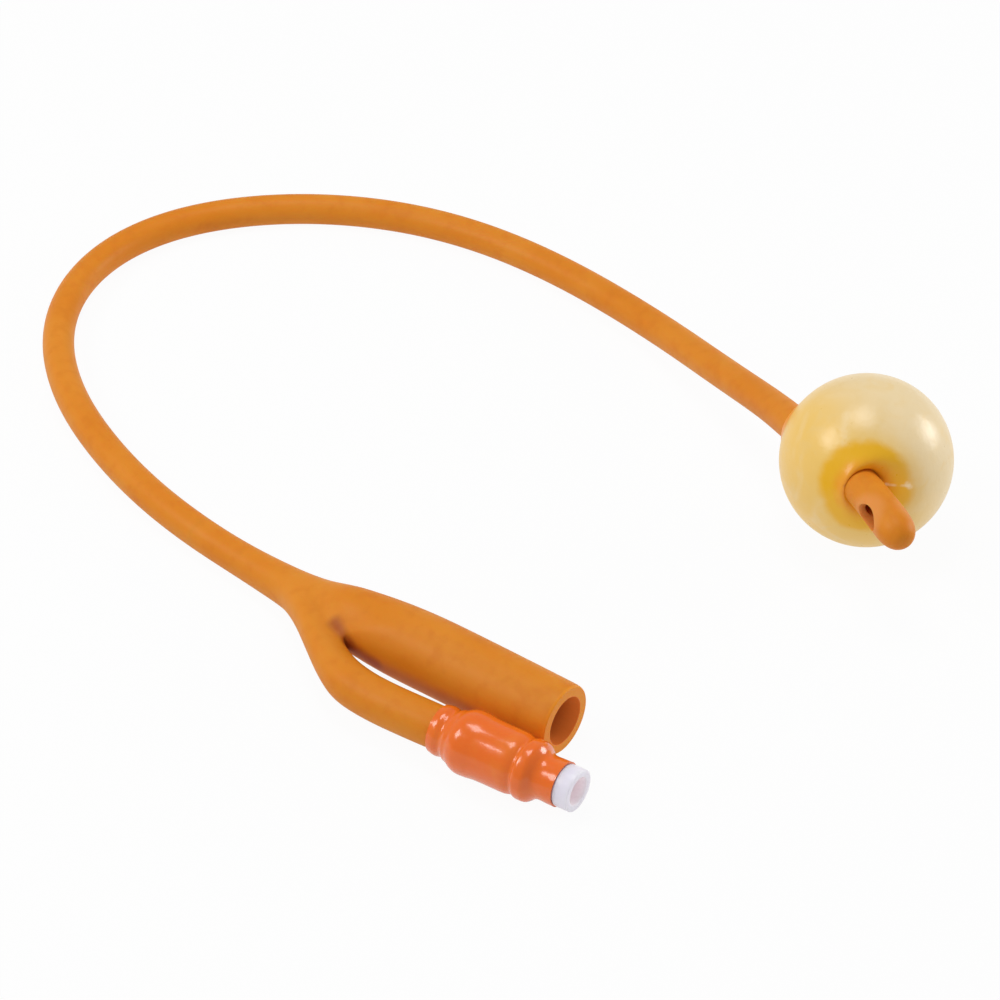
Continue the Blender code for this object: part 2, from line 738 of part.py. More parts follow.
def turned(name, profile, parts, material, parent, steps=24, wall=None):
    """Turns a profile of (distance back from the valve's mouth, radius) about the valve's axis."""
    mesh = bpy.data.meshes.new(name)
    points = [(radius, 0, -back) for back, radius in profile]
    edges = [(k, k + 1) for k in range(len(points) - 1)]
    mesh.from_pydata(points, edges, [])
    mesh.materials.append(material)
    obj = bpy.data.objects.new(name, mesh)
    parts.objects.link(obj)
    obj.parent = parent
    screw = obj.modifiers.new("turn", "SCREW")
    screw.axis = "Z"
    screw.steps = steps
    screw.render_steps = steps
    screw.use_merge_vertices = True
    screw.merge_threshold = 0.00001
    screw.use_smooth_shade = True
    if wall:
        skin = obj.modifiers.new("wall", "SOLIDIFY")
        skin.thickness = wall
        skin.offset = 1
    return obj


def closed(profile):
    return profile + [profile[0]]


def make_housing(parts, material, parent):
    """Front of the valve: syringe socket, neck, flange and the barrel round the chamber."""
    rim = MOUTH_RIM_DIAMETER / 2
    luer = LUER_MOUTH_DIAMETER / 2
    luer_end = luer - LUER_DEPTH * LUER_TAPER / 2
    neck = NECK_DIAMETER / 2
    profile = [
        (0, luer),
        (0, rim - RIM_EDGE),
        (RIM_EDGE, rim),
        (MOUTH_RIM_LENGTH - SEAT_GAP, rim),
        (MOUTH_RIM_LENGTH, neck),
        (FLANGE_FRONT, neck),
        (FLANGE_FRONT, FLANGE_DIAMETER / 2),
        (FLANGE_BACK, FLANGE_DIAMETER / 2),
        (FLANGE_BACK, BARREL_DIAMETER / 2),
        (BARREL_BACK, BARREL_DIAMETER / 2),
        (BARREL_BACK, CHAMBER_DIAMETER / 2),
        (SEAT_BACK, CHAMBER_DIAMETER / 2),
        (SEAT_BACK, SEAT_BORE_DIAMETER / 2),
        (LUER_DEPTH, SEAT_BORE_DIAMETER / 2),
        (LUER_DEPTH, luer_end),
    ]
    return turned("valve_housing", closed(profile), parts, material, parent)


def make_end_cap(parts, material, parent):
    """Closes the chamber behind the spring: spigot, shoulder and a barbed tail with a port."""
    port = PORT_DIAMETER / 2
    spigot = CHAMBER_DIAMETER / 2 - VALVE_FIT
    barb = BARB_DIAMETER / 2
    shoulder = BARREL_BACK + SEAT_GAP / 2
    profile = [
        (CAP_FRONT, port),
        (CAP_FRONT, spigot),
        (shoulder, spigot),
        (shoulder, BARREL_DIAMETER / 2),
        (CAP_BACK, BARREL_DIAMETER / 2),
        (CAP_BACK, barb * 0.8),
        (CAP_BACK + BARB_LENGTH * 0.4, barb * 0.8),
        (CAP_BACK + BARB_LENGTH * 0.4, barb),
        (BARB_END - BARB_LENGTH * 0.25, barb * 0.8),
        (BARB_END, port + RIM_EDGE),
        (BARB_END, port),
    ]
    return turned("valve_end_cap", closed(profile), parts, material, parent)


def make_stem(parts, cutters, material, parent):
    """The moving stem: a fluted rod with a round end, a waist for the seal, a plate and a guide."""
    rod = STEM_DIAMETER / 2
    profile = [
        (STEM_RECESS, 0),
        (STEM_RECESS, rod - VALVE_FIT),
        (STEM_RECESS + VALVE_FIT, rod),
        (SEAL_FRONT, rod),
        (SEAL_FRONT, STEM_WAIST_DIAMETER / 2),
        (PLATE_FRONT, STEM_WAIST_DIAMETER / 2),
        (PLATE_FRONT, PLATE_DIAMETER / 2),
        (PLATE_BACK, PLATE_DIAMETER / 2),
        (PLATE_BACK, SPRING_GUIDE_DIAMETER / 2),
        (GUIDE_END, SPRING_GUIDE_DIAMETER / 2),
        (GUIDE_END, 0),
    ]
    stem = turned("valve_stem", profile, parts, material, parent, steps=16)
    length = SEAL_FRONT - STEM_RECESS - STEM_BUTTON - VALVE_FIT * 2
    bm = bmesh.new()
    for k in range(FLUTES):
        turn = math.tau * k / FLUTES
        middle = -(STEM_RECESS + STEM_BUTTON + length / 2)
        place = Matrix.Translation((rod * math.cos(turn), rod * math.sin(turn), middle))
        bmesh.ops.create_cone(
            bm,
            cap_ends=True,
            segments=8,
            radius1=FLUTE_DIAMETER / 2,
            radius2=FLUTE_DIAMETER / 2,
            depth=length,
            matrix=place,
        )
    flutes = mesh_object("stem_flutes", bm, cutters)
    flutes.parent = parent
    add_cut(stem, flutes)
    return stem


def make_seal(parts, material, parent):
    """A rubber washer with a domed face, held between the stem's rod and its plate."""
    hole = STEM_WAIST_DIAMETER / 2 + VALVE_FIT
    edge = PLATE_DIAMETER / 2
    profile = [
        (SEAL_FRONT + VALVE_FIT, hole),
        (SEAL_FRONT + VALVE_FIT, blend(hole, edge, 0.35)),
        (SEAL_FRONT, blend(hole, edge, 0.6)),
        (SEAL_FRONT + VALVE_FIT, edge - VALVE_FIT),
        (blend(SEAL_FRONT, SEAL_BACK, 0.5), edge),
        (SEAL_BACK, edge - VALVE_FIT),
        (SEAL_BACK, hole),
    ]
    return turned("valve_seal", closed(profile), parts, material, parent, steps=20)


def make_spring(parts, material, parent):
    """A coil between the stem's plate and the end cap."""
    wire = SPRING_WIRE / 2
    radius = (SPRING_DIAMETER - SPRING_WIRE) / 2
    front = SPRING_FRONT + wire
    back = SPRING_BACK - wire
    per_turn = 12
    count = round(SPRING_TURNS * per_turn)
    curve = bpy.data.curves.new("valve_spring", "CURVE")
    curve.dimensions = "3D"
    curve.bevel_depth = wire
    curve.bevel_resolution = 1
    curve.use_fill_caps = True
    spline = curve.splines.new("POLY")
    spline.points.add(count)
    for k, point in enumerate(spline.points):
        turn = math.tau * k / per_turn
        along = blend(front, back, k / count)
        point.co = (radius * math.cos(turn), radius * math.sin(turn), -along, 1)
    curve.materials.append(material)
    obj = bpy.data.objects.new("valve_spring", curve)
    parts.objects.link(obj)
    obj.parent = parent
    return obj


def make_sleeve(parts, material, parent):
    """A thin orange sleeve shrunk over the arm's end, the flange and the valve's neck."""
    on_arm = ARM_DIAMETER / 2 - ARM_SQUEEZE + SEAT_GAP
    on_socket = SOCKET_RADIUS + SEAT_GAP
    on_flange = FLANGE_DIAMETER / 2 + SEAT_GAP
    on_neck = NECK_DIAMETER / 2 + SEAT_GAP
    front = FLANGE_FRONT - SEAT_GAP
    drape = (on_flange - on_neck) / 2
    arm_end = SOCKET_SHOULDER + SHOULDER_RUN
    profile = [
        (MOUTH_RIM_LENGTH + SEAT_GAP, on_neck),
        (front - drape * 1.6, on_neck),
        (front - drape * 0.6, on_neck + drape * 0.3),
        (front, on_neck + drape),
        (front + SEAT_GAP, on_flange),
        (FLANGE_BACK, on_flange),
        (blend(FLANGE_BACK, SOCKET_END, 0.6), on_socket - SEAT_GAP / 2),
        (SOCKET_END + SEAT_GAP * 2, on_socket),
        (blend(SOCKET_END, SOCKET_SHOULDER, 0.7), on_socket),
        (SOCKET_SHOULDER - SOCKET_HUMP * 4, on_socket + SOCKET_HUMP),
        (SOCKET_SHOULDER + SOCKET_HUMP, on_socket + SOCKET_HUMP),
        (blend(SOCKET_SHOULDER, arm_end, 0.5), blend(on_socket, on_arm, 0.35)),
        (blend(SOCKET_SHOULDER, arm_end, 0.8), blend(on_socket, on_arm, 0.85)),
        (arm_end, on_arm),
        (arm_end + SLEEVE_ON_ARM, on_arm),
    ]
    return turned("colour_sleeve", profile, parts, material, parent, wall=SLEEVE_WALL)


def main():
    for obj in list(bpy.data.objects):
        bpy.data.objects.remove(obj, do_unlink=True)
    parts = bpy.data.collections.new(COLLECTION)
    cutters = bpy.data.collections.new(CUTTERS)
    bpy.context.scene.collection.children.link(parts)
    bpy.context.scene.collection.children.link(cutters)

    latex = new_material("latex", (0.70, 0.25, 0.03), 0.45)
    skin = new_material("balloon_latex", (0.75, 0.55, 0.25), 0.3, alpha=0.75)
    white = new_material("valve_white", (0.75, 0.73, 0.80), 0.35)
    orange = new_material("sleeve_orange", (0.85, 0.14, 0.02), 0.15)
    steel = new_material("spring_steel", (0.6, 0.6, 0.6), 0.3, 1.0)
    rubber = new_material("seal_rubber", (0.05, 0.05, 0.05), 0.6)

    body = CatheterBody()
    make_body(body, parts, cutters, latex)
    make_balloon(body, parts, skin)

    valve = bpy.data.objects.new("valve_axis", None)
    parts.objects.link(valve)
    valve.location = valve_point(0)
    valve.rotation_euler = (0, math.pi / 2, VALVE_HEADING)
    make_housing(parts, white, valve)
    make_end_cap(parts, white, valve)
    make_stem(parts, cutters, white, valve)
    make_seal(parts, rubber, valve)
    make_spring(parts, steel, valve)
    make_sleeve(parts, orange, valve)
    bpy.context.view_layer.update()


main()
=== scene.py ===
"""Looks of a latex Foley catheter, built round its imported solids.

The tube lies in a loop on a pale table, with its balloon filled. Metres, +Z up, in the solids' frame.
"""

import json
import logging
import math
from dataclasses import dataclass, field
from enum import Enum
from typing import Optional, Sequence, Union

import bmesh
import bpy
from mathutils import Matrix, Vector, noise

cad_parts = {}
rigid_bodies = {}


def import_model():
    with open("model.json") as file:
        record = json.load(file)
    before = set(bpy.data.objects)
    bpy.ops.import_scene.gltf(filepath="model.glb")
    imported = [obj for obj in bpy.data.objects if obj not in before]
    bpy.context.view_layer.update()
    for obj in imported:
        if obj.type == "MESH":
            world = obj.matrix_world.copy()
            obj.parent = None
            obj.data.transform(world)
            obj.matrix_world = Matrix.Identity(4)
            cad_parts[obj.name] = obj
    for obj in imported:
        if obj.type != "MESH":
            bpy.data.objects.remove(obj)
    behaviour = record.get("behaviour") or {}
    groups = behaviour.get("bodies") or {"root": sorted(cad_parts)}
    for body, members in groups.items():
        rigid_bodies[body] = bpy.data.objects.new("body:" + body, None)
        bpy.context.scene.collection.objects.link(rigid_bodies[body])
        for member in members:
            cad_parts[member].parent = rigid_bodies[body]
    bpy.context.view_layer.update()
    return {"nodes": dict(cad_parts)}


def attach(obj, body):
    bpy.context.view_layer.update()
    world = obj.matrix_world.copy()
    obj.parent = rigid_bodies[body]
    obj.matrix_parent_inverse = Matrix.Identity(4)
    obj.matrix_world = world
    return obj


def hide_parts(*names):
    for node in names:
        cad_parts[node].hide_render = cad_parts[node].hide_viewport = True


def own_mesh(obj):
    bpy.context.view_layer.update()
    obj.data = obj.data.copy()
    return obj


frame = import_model()

LOG = logging.getLogger("foley_catheter")
UP = Vector((0.0, 0.0, 1.0))
ACROSS = Vector((0.0, 1.0, 0.0))
Colour = tuple[float, float, float]
Point = tuple[float, float, float]
Pair = tuple[float, float]
Piece = bpy.types.Object
Owner = Union[bpy.types.Material, bpy.types.World]


class Slot(Enum):
    """The record's material slots."""

    LATEX = "latex"
    BALLOON = "balloon_latex"
    VALVE = "valve_white"
    SLEEVE = "sleeve_orange"


# Small helpers of the workshop


def blend(a: float, b: float, share: float) -> float:
    """Straight mix of two values."""
    return a + (b - a) * share


def ease(share: float) -> float:
    """Smooth step from 0 to 1."""
    share = min(max(share, 0.0), 1.0)
    return share * share * (3 - 2 * share)


def select_only(piece: Piece) -> None:
    """Makes one piece the active one and the only one selected.

    Args:
        piece: the piece.
    """
    bpy.ops.object.select_all(action="DESELECT")
    piece.select_set(True)
    bpy.context.view_layer.objects.active = piece


def apply_modifier(piece: Piece, kind: str, **settings: object) -> None:
    """Adds a modifier with its settings and applies it.

    Args:
        piece: the piece that gets it.
        kind: Blender's name of the modifier's type.
        settings: the values of the modifier.
    """
    select_only(piece)
    bpy.ops.object.modifier_add(type=kind)
    modifier = piece.modifiers[-1]
    for name, value in settings.items():
        setattr(modifier, name, value)
    bpy.ops.object.modifier_apply(modifier=modifier.name)


def cut_with(piece: Piece, cutter: Piece) -> None:
    """Takes a cutter's shape out of a piece and deletes the cutter."""
    apply_modifier(piece, "BOOLEAN", operation="DIFFERENCE", solver="EXACT", object=cutter)
    bpy.data.objects.remove(cutter, do_unlink=True)


def smooth_shading(piece: Piece, degrees: float) -> None:
    """Smooths a piece, apart from its edges sharper than an angle."""
    select_only(piece)
    bpy.ops.object.shade_smooth_by_angle(angle=math.radians(degrees))


class Route:
    """A smooth curve through chosen points, read by its length."""

    def __init__(self, points: Sequence[Vector], hand: int, fine: float = 0.0004) -> None:
        """Lays the curve.

        Args:
            points: the points that it runs through.
            hand: 1 or -1, the way its side vector turns.
            fine: the length of its steps.
        """
        self.hand = hand
        self.points = [points[0].copy()]
        for i in range(len(points) - 1):
            before = points[max(i - 1, 0)]
            start = points[i]
            end = points[i + 1]
            after = points[min(i + 2, len(points) - 1)]
            chord = (end - start).length
            leave = self.slope(before, start, end) * chord
            arrive = self.slope(start, end, after) * chord
            steps = max(2, round(chord / fine))
            for k in range(1, steps + 1):
                t = k / steps
                a = 2 * t**3 - 3 * t**2 + 1
                b = t**3 - 2 * t**2 + t
                c = t**3 - t**2
                self.points.append(a * start + b * leave + (1 - a) * end + c * arrive)
        self.lengths = [0.0]
        for start, end in zip(self.points, self.points[1:]):
            self.lengths.append(self.lengths[-1] + (end - start).length)
        self.length = self.lengths[-1]

    @staticmethod
    def slope(before: Vector, here: Vector, after: Vector) -> Vector:
        """Unit slope at a point, weighted to the nearer neighbour.

        Args:
            before: the point before it.
            here: the point.
            after: the next point.

        Returns:
            The slope.
        """
        back = here - before
        ahead = after - here
        if back.length == 0:
            return ahead.normalized()
        if ahead.length == 0:
            return back.normalized()
        return (back / back.length**2 + ahead / ahead.length**2).normalized()

    def at(self, s: float) -> Vector:
        """The point at a length along the curve.

        Args:
            s: the length along the curve.

        Returns:
            The point.
        """
        low = 0
        high = len(self.lengths) - 2
        while low < high:
            middle = (low + high + 1) // 2
            if self.lengths[middle] <= s:
                low = middle
            else:
                high = middle - 1
        span = self.lengths[low + 1] - self.lengths[low]
        return self.points[low].lerp(self.points[low + 1], (s - self.lengths[low]) / span)

    def tangent(self, s: float, reach: float = 0.0008) -> Vector:
        """The direction at a length."""
        return (self.at(min(s + reach, self.length)) - self.at(max(s - reach, 0.0))).normalized()

    def axes(self, s: float) -> tuple[Vector, Vector, Vector]:
        """Centre, side and up at a length.

        Args:
            s: the length along the curve.

        Returns:
            The three vectors.
        """
        tangent = self.tangent(s)
        side = UP.cross(tangent).normalized() * self.hand
        return self.at(s), side, tangent.cross(side) * self.hand

    def ring(self, s: float, radius: float, sides: int, offset: float = 0.0) -> list[Vector]:
        """Points round the curve, from its side over the top.

        Args:
            s: the length along the curve.
            radius: the ring's radius.
            sides: how many points.
            offset: how far the ring's centre lies to the side.

        Returns:
            The points.
        """
        centre, side, up = self.axes(s)
        return circle(centre + side * offset, side, up, radius, sides)

    def crossings(self, centre: Vector, radius: float) -> Pair:
        """The lengths where the curve enters and leaves a sphere."""
        inside = [s for s, point in zip(self.lengths, self.points) if (point - centre).length < radius]
        return inside[0], inside[-1]


def circle(centre: Vector, side: Vector, up: Vector, radius: float, sides: int) -> list[Vector]:
    """Points of a circle, from its side over the top."""
    turns = [math.tau * k / sides for k in range(sides)]
    return [centre + (side * math.cos(a) + up * math.sin(a)) * radius for a in turns]


def cage_swell(step: float) -> float:
    """How much larger a cage is than the round it smooths to, for the angle between its points."""
    return 1 / (2 / 3 + math.cos(step) / 3)


class Skin:
    """A skin grown by extruding an open ring and setting each new ring in its place."""

    def __init__(self, name: str, first: Sequence[Vector]) -> None:
        """Starts from a circle.

        Args:
            name: the piece's name.
            first: where the circle's points go.
        """
        bpy.ops.object.select_all(action="DESELECT")
        bpy.ops.mesh.primitive_circle_add(vertices=len(first), radius=0.01)
        self.piece = bpy.context.active_object
        self.piece.name = name
        self.piece.data.name = name
        bpy.ops.object.mode_set(mode="EDIT")
        bpy.ops.mesh.select_mode(type="EDGE")
        self.last = list(range(len(first)))
        self.place(self.last, first)

    def mesh(self) -> bmesh.types.BMesh:
        """The mesh in edit mode, with its tables ready.

        Returns:
            The mesh.
        """
        mesh = bmesh.from_edit_mesh(self.piece.data)
        mesh.verts.ensure_lookup_table()
        return mesh

    def place(self, ring: Sequence[int], points: Sequence[Vector]) -> None:
        """Sets a ring's points in place.

        Args:
            ring: the numbers of its points.
            points: their places.
        """
        mesh = self.mesh()
        for index, point in zip(ring, points):
            mesh.verts[index].co = point
        bmesh.update_edit_mesh(self.piece.data)

    def select(self, ring: Sequence[int]) -> None:
        """Selects the edges of a closed ring.

        Args:
            ring: the numbers of its points.
        """
        bpy.ops.mesh.select_all(action="DESELECT")
        mesh = self.mesh()
        for one, two in zip(ring, [*ring[1:], ring[0]]):
            edge = mesh.edges.get((mesh.verts[one], mesh.verts[two]))
            edge.select_set(True)
        bmesh.update_edit_mesh(self.piece.data)

    def grow(self, points: Sequence[Vector], ring: Optional[Sequence[int]] = None) -> list[int]:
        """Extrudes a ring and places the new one.

        Args:
            points: where the new ring goes.
            ring: the ring to extrude, or the last one.

        Returns:
            The new ring.
        """
        ring = self.last if ring is None else ring
        self.select(ring)
        bpy.ops.mesh.extrude_edges_move()
        mesh = self.mesh()
        grown = []
        for index in ring:
            vert = mesh.verts[index]
            ends = [edge.other_vert(vert) for edge in vert.link_edges]
            grown.append(next(end.index for end in ends if end.select and end.index not in ring))
        self.last = grown
        self.place(grown, points)
        return grown

    def cap(self, ring: Sequence[int], sharp: bool = False) -> None:
        """Closes a ring with one face, with a crease round it if it is sharp.

        Args:
            ring: the numbers of its points.
            sharp: whether its edges are creased.
        """
        self.select(ring)
        bpy.ops.mesh.edge_face_add()
        if sharp:
            self.select(ring)
            bpy.ops.transform.edge_crease(value=1.0)

    def mark(self, slot: int, faces: range) -> None:
        """Gives a run of faces, by their numbers, a material slot.

        Args:
            slot: the slot's number.
            faces: the numbers of the faces.
        """
        mesh = self.mesh()
        mesh.faces.ensure_lookup_table()
        for k in faces:
            mesh.faces[k].material_index = slot
        bmesh.update_edit_mesh(self.piece.data)

    def count(self) -> int:
        """How many faces the skin has."""
        return len(self.mesh().faces)

    def finish(self, levels: int = 0) -> Piece:
        """Turns the faces outwards, leaves edit mode and smooths the cage.

        Args:
            levels: levels of subdivision.

        Returns:
            The piece.
        """
        bpy.ops.mesh.select_all(action="SELECT")
        bpy.ops.mesh.normals_make_consistent(inside=False)
        bpy.ops.mesh.select_all(action="DESELECT")
        bpy.ops.object.mode_set(mode="OBJECT")
        if levels:
            apply_modifier(self.piece, "SUBSURF", levels=levels, render_levels=levels)
        return self.piece


def skin_of(name: str, rings: Sequence[Sequence[Vector]], closed: bool = True) -> Skin:
    """A skin through rings.

    Args:
        name: the piece's name.
        rings: the rings, in order.
        closed: whether both ends get a face.

    Returns:
        The skin, still in edit mode.
    """
    skin = Skin(name, rings[0])
    first = skin.last
    for ring in rings[1:]:
        skin.grow(ring)
    if closed:
        skin.cap(skin.last)
        skin.cap(first)
    return skin


# Materials


@dataclass(frozen=True)
class Wire:
    """A socket whose maths is written as plain expressions."""

    sheet: "Sheet"
    socket: bpy.types.NodeSocket

    def _maths(self, operation: str, one: object, two: object) -> "Wire":
        """Adds a Math node."""
        return self.sheet.node("ShaderNodeMath", {"operation": operation}, {0: one, 1: two})

    def __add__(self, other: object) -> "Wire":
        """Sum."""
        return self._maths("ADD", self, other)

    def __radd__(self, other: object) -> "Wire":
        """Sum, from the right."""
        return self._maths("ADD", other, self)

    def __sub__(self, other: object) -> "Wire":
        """Difference."""
        return self._maths("SUBTRACT", self, other)

    def __rsub__(self, other: object) -> "Wire":
        """Difference, from the right."""
        return self._maths("SUBTRACT", other, self)

    def __mul__(self, other: object) -> "Wire":
        """Product."""
        return self._maths("MULTIPLY", self, other)

    def __rmul__(self, other: object) -> "Wire":
        """Product, from the right."""
        return self._maths("MULTIPLY", other, self)

    def smooth(self, low: float, high: float) -> "Wire":
        """Smooth step from 0 at low to 1 at high."""
        inputs = {"Value": self, "From Min": low, "From Max": high}
        return self.sheet.node("ShaderNodeMapRange", {"interpolation_type": "SMOOTHSTEP"}, inputs)


class Sheet:
    """A node tree, and the one place where its nodes are made."""

    def __init__(self, owner: Owner, shader: str) -> None:
        """Takes up the tree of a material or a world.

        Args:
            owner: the material or world.
            shader: the name of the shader that it starts with.
        """
        owner.use_nodes = True
        self.owner = owner
        self.nodes = owner.node_tree.nodes
        self.links = owner.node_tree.links
        self.shader = self.nodes[shader]

    @classmethod
    def of_material(cls, name: str) -> "Sheet":
        """The sheet of a new material."""
        return cls(bpy.data.materials.new(name), "Principled BSDF")

    def feed(self, socket: bpy.types.NodeSocket, value: object) -> None:
        """Sets a socket's value or links a wire to it.

        Args:
            socket: the socket.
            value: a wire, a colour of three shares or a plain value.
        """
        if isinstance(value, Wire):
            self.links.new(value.socket, socket)
        elif isinstance(value, tuple) and len(value) == 3 and socket.type == "RGBA":
            socket.default_value = (*value, 1.0)
        else:
            socket.default_value = value

    def node(
        self,
        kind: str,
        settings: Optional[dict[str, object]] = None,
        inputs: Optional[dict[Union[int, str], object]] = None,
        output: Union[int, str] = 0,
    ) -> Wire:
        """Adds a node.

        Args:
            kind: the node's type.
            settings: its settings, which are set first.
            inputs: values or wires of its sockets.
            output: the output that is read.

        Returns:
            The wire of that output.
        """
        made = self.nodes.new(kind)
        for name, value in (settings or {}).items():
            setattr(made, name, value)
        for name, value in (inputs or {}).items():
            self.feed(made.inputs[name], value)
        return Wire(self, made.outputs[output])

    def place(self) -> Wire:
        """The place on the object, in metres."""
        return self.node("ShaderNodeTexCoord", output="Object")

    def cloud(self, scale: float, detail: float = 3.0, warp: float = 0.0) -> Wire:
        """Noise of a size, where the scale counts features to the metre."""
        inputs = {"Vector": self.place(), "Scale": scale, "Detail": detail, "Distortion": warp}
        return self.node("ShaderNodeTexNoise", None, inputs)

    def mix(self, share: object, one: object, two: object) -> Wire:
        """Mix of two colours."""
        return self.node("ShaderNodeMix", {"data_type": "RGBA"}, {0: share, 6: one, 7: two}, 2)

    def vector(self, operation: str, one: object, two: object, output: str = "Vector") -> Wire:
        """Vector maths on two vectors."""
        return self.node("ShaderNodeVectorMath", {"operation": operation}, {0: one, 1: two}, output)

    def away(self, centre: Union[Vector, Point]) -> Wire:
        """The way from a point to the place."""
        return self.vector("SUBTRACT", self.place(), tuple(centre))

    def nearness(self, centre: Vector, axis: Vector) -> Wire:
        """Cosine of the angle between an axis and the way from a centre to the place."""
        unit = self.node("ShaderNodeVectorMath", {"operation": "NORMALIZE"}, {0: self.away(centre)})
        return self.vector("DOT_PRODUCT", unit, tuple(axis), "Value")

    def distance(self, centre: Vector) -> Wire:
        """Distance of the place from a point."""
        return self.vector("DISTANCE", self.place(), tuple(centre), "Value")

    def segment(self, start: Vector, end: Vector) -> Wire:
        """Distance of the place from the straight line between two points.

        Args:
            start: the line's first point.
            end: its last point.

        Returns:
            The distance.
        """
        span = end - start
        away = self.away(start)
        share = self.vector("DOT_PRODUCT", away, tuple(span / span.length_squared), "Value")
        share = self.node("ShaderNodeClamp", None, {"Value": share})
        scaled = {0: tuple(span), "Scale": share}
        foot = self.node("ShaderNodeVectorMath", {"operation": "SCALE"}, scaled)
        return self.vector("DISTANCE", away, foot, "Value")

    def bump(self, height: Wire, depth: float) -> Wire:
        """A bump as deep as depth, in metres."""
        inputs = {"Height": height, "Distance": depth, "Strength": 1.0}
        return self.node("ShaderNodeBump", None, inputs, "Normal")

    def dress(self, inputs: dict[str, object]) -> Owner:
        """Feeds the shader's sockets.

        Args:
            inputs: values or wires by the sockets' names.

        Returns:
            The material or world.
        """
        for name, value in inputs.items():
            self.feed(self.shader.inputs[name], value)
        return self.owner


@dataclass(frozen=True)
class Tint:
    """A colour laid over others: none of it where a wire is at low, its full strength at high."""

    colour: Colour
    low: float
    high: float
    strength: float = 1.0

    def over(self, below: Union[Wire, Colour], wire: Wire, share: Union[Wire, float] = 1.0) -> Wire:
        """Lays the colour over another.

        Args:
            below: the colour so far.
            wire: what the tint follows.
            share: what its strength is multiplied by.

        Returns:
            The mixed colour.
        """
        weight = wire.smooth(self.low, self.high) * (share * self.strength)
        return wire.sheet.mix(weight, below, self.colour)


@dataclass(frozen=True)
class Mark:
    """A soft streak on a surface, along the line between two points, full within its core."""

    start: Union[Vector, Point]
    end: Union[Vector, Point]
    core: float
    reach: float
    strength: float

    def share(self, sheet: Sheet) -> Wire:
        """How strong the streak is at the place."""
        distance = sheet.segment(Vector(self.start), Vector(self.end))
        return distance.smooth(self.reach, self.core) * self.strength


@dataclass(frozen=True)
class LatexFinish:
    """Amber dipped latex: satin, warm, a little cloudy."""

    name: str
    amber: Colour = (0.700, 0.222, 0.010)
    light: Tint = Tint((0.725, 0.252, 0.018), 0.35, 0.70)
    deep: Tint = Tint((0.620, 0.165, 0.008), 0.45, 0.75, 0.35)
    # Paler, pinkish round each eye: a painted highlight on the eyes' lips.
    lip: Tint = Tint((0.800, 0.330, 0.110), 0.0046, 0.0028, 0.45)
    # Dark red-brown painted shade in the crotch of the Y and along the gap between funnel and arm.
    painted_shade: Colour = (0.340, 0.060, 0.008)
    # Darker red down the funnel's bore: painted shade.
    inside: Tint = Tint((0.440, 0.085, 0.016), -0.0300, -0.0220)
    # Lighter round the cut edge of the funnel's mouth: a painted highlight.
    edge: Tint = Tint((0.840, 0.300, 0.018), -0.0006, -0.0001, 0.8)
    # A faint glow in the bore near the mouth: painted light that stands in for light coming through
    # the wall.
    through: Tint = Tint((0.240, 0.066, 0.010), -0.0062, 0.0006)
    dark: Colour = (0.0, 0.0, 0.0)
    bore: Pair = (0.0038, 0.0041)
    eyes: tuple[Vector, ...] = ()
    mouth: Optional[Vector] = None
    shaded: tuple[Mark, ...] = ()

    def material(self) -> bpy.types.Material:
        """Builds the material.

        Returns:
            The material.
        """
        sheet = Sheet.of_material(self.name)
        drift = sheet.cloud(scale=70.0, detail=2.0, warp=0.4)
        mottle = sheet.cloud(scale=420.0)
        grain = sheet.cloud(scale=2600.0, detail=2.0)
        colour = self.light.over(self.amber, drift)
        colour = self.deep.over(colour, mottle)
        for eye in self.eyes:
            colour = self.lip.over(colour, sheet.distance(eye))
        for mark in self.shaded:
            colour = sheet.mix(mark.share(sheet), colour, self.painted_shade)
        shining = self.dark
        if self.mouth:
            colour, shining = self._mouth(sheet, colour)
        return sheet.dress(
            {
                "Base Color": colour,
                "Roughness": 0.40 + mottle * 0.16,
                "Normal": sheet.bump(grain * 0.6 + mottle, depth=0.00003),
                "Subsurface Weight": 0.25,
                "Subsurface Radius": (1.0, 0.35, 0.08),
                "Subsurface Scale": 0.0012,
                "Specular IOR Level": 0.20,
                "Emission Color": shining,
                "Emission Strength": 1.0,
            }
        )

    def _mouth(self, sheet: Sheet, colour: Wire) -> tuple[Wire, Wire]:
        """Paints a darker red shade down the funnel's bore, a glow where light comes through its wall
        and a highlight on its cut edge.

        Args:
            sheet: the material's nodes.
            colour: the latex so far.

        Returns:
            The colour with the painted shade and highlight, and the painted glow.
        """
        away = sheet.away(self.mouth)
        along = sheet.vector("DOT_PRODUCT", away, (1.0, 0.0, 0.0), "Value")
        flat = sheet.vector("MULTIPLY", away, (0.0, 1.0, 1.0))
        radius = sheet.node("ShaderNodeVectorMath", {"operation": "LENGTH"}, {0: flat}, "Value")
        beyond = radius.smooth(*self.bore)
        within = 1.0 - beyond
        colour = self.inside.over(colour, along, within)
        colour = self.edge.over(colour, along, beyond)
        return colour, self.through.over(self.dark, along, within)


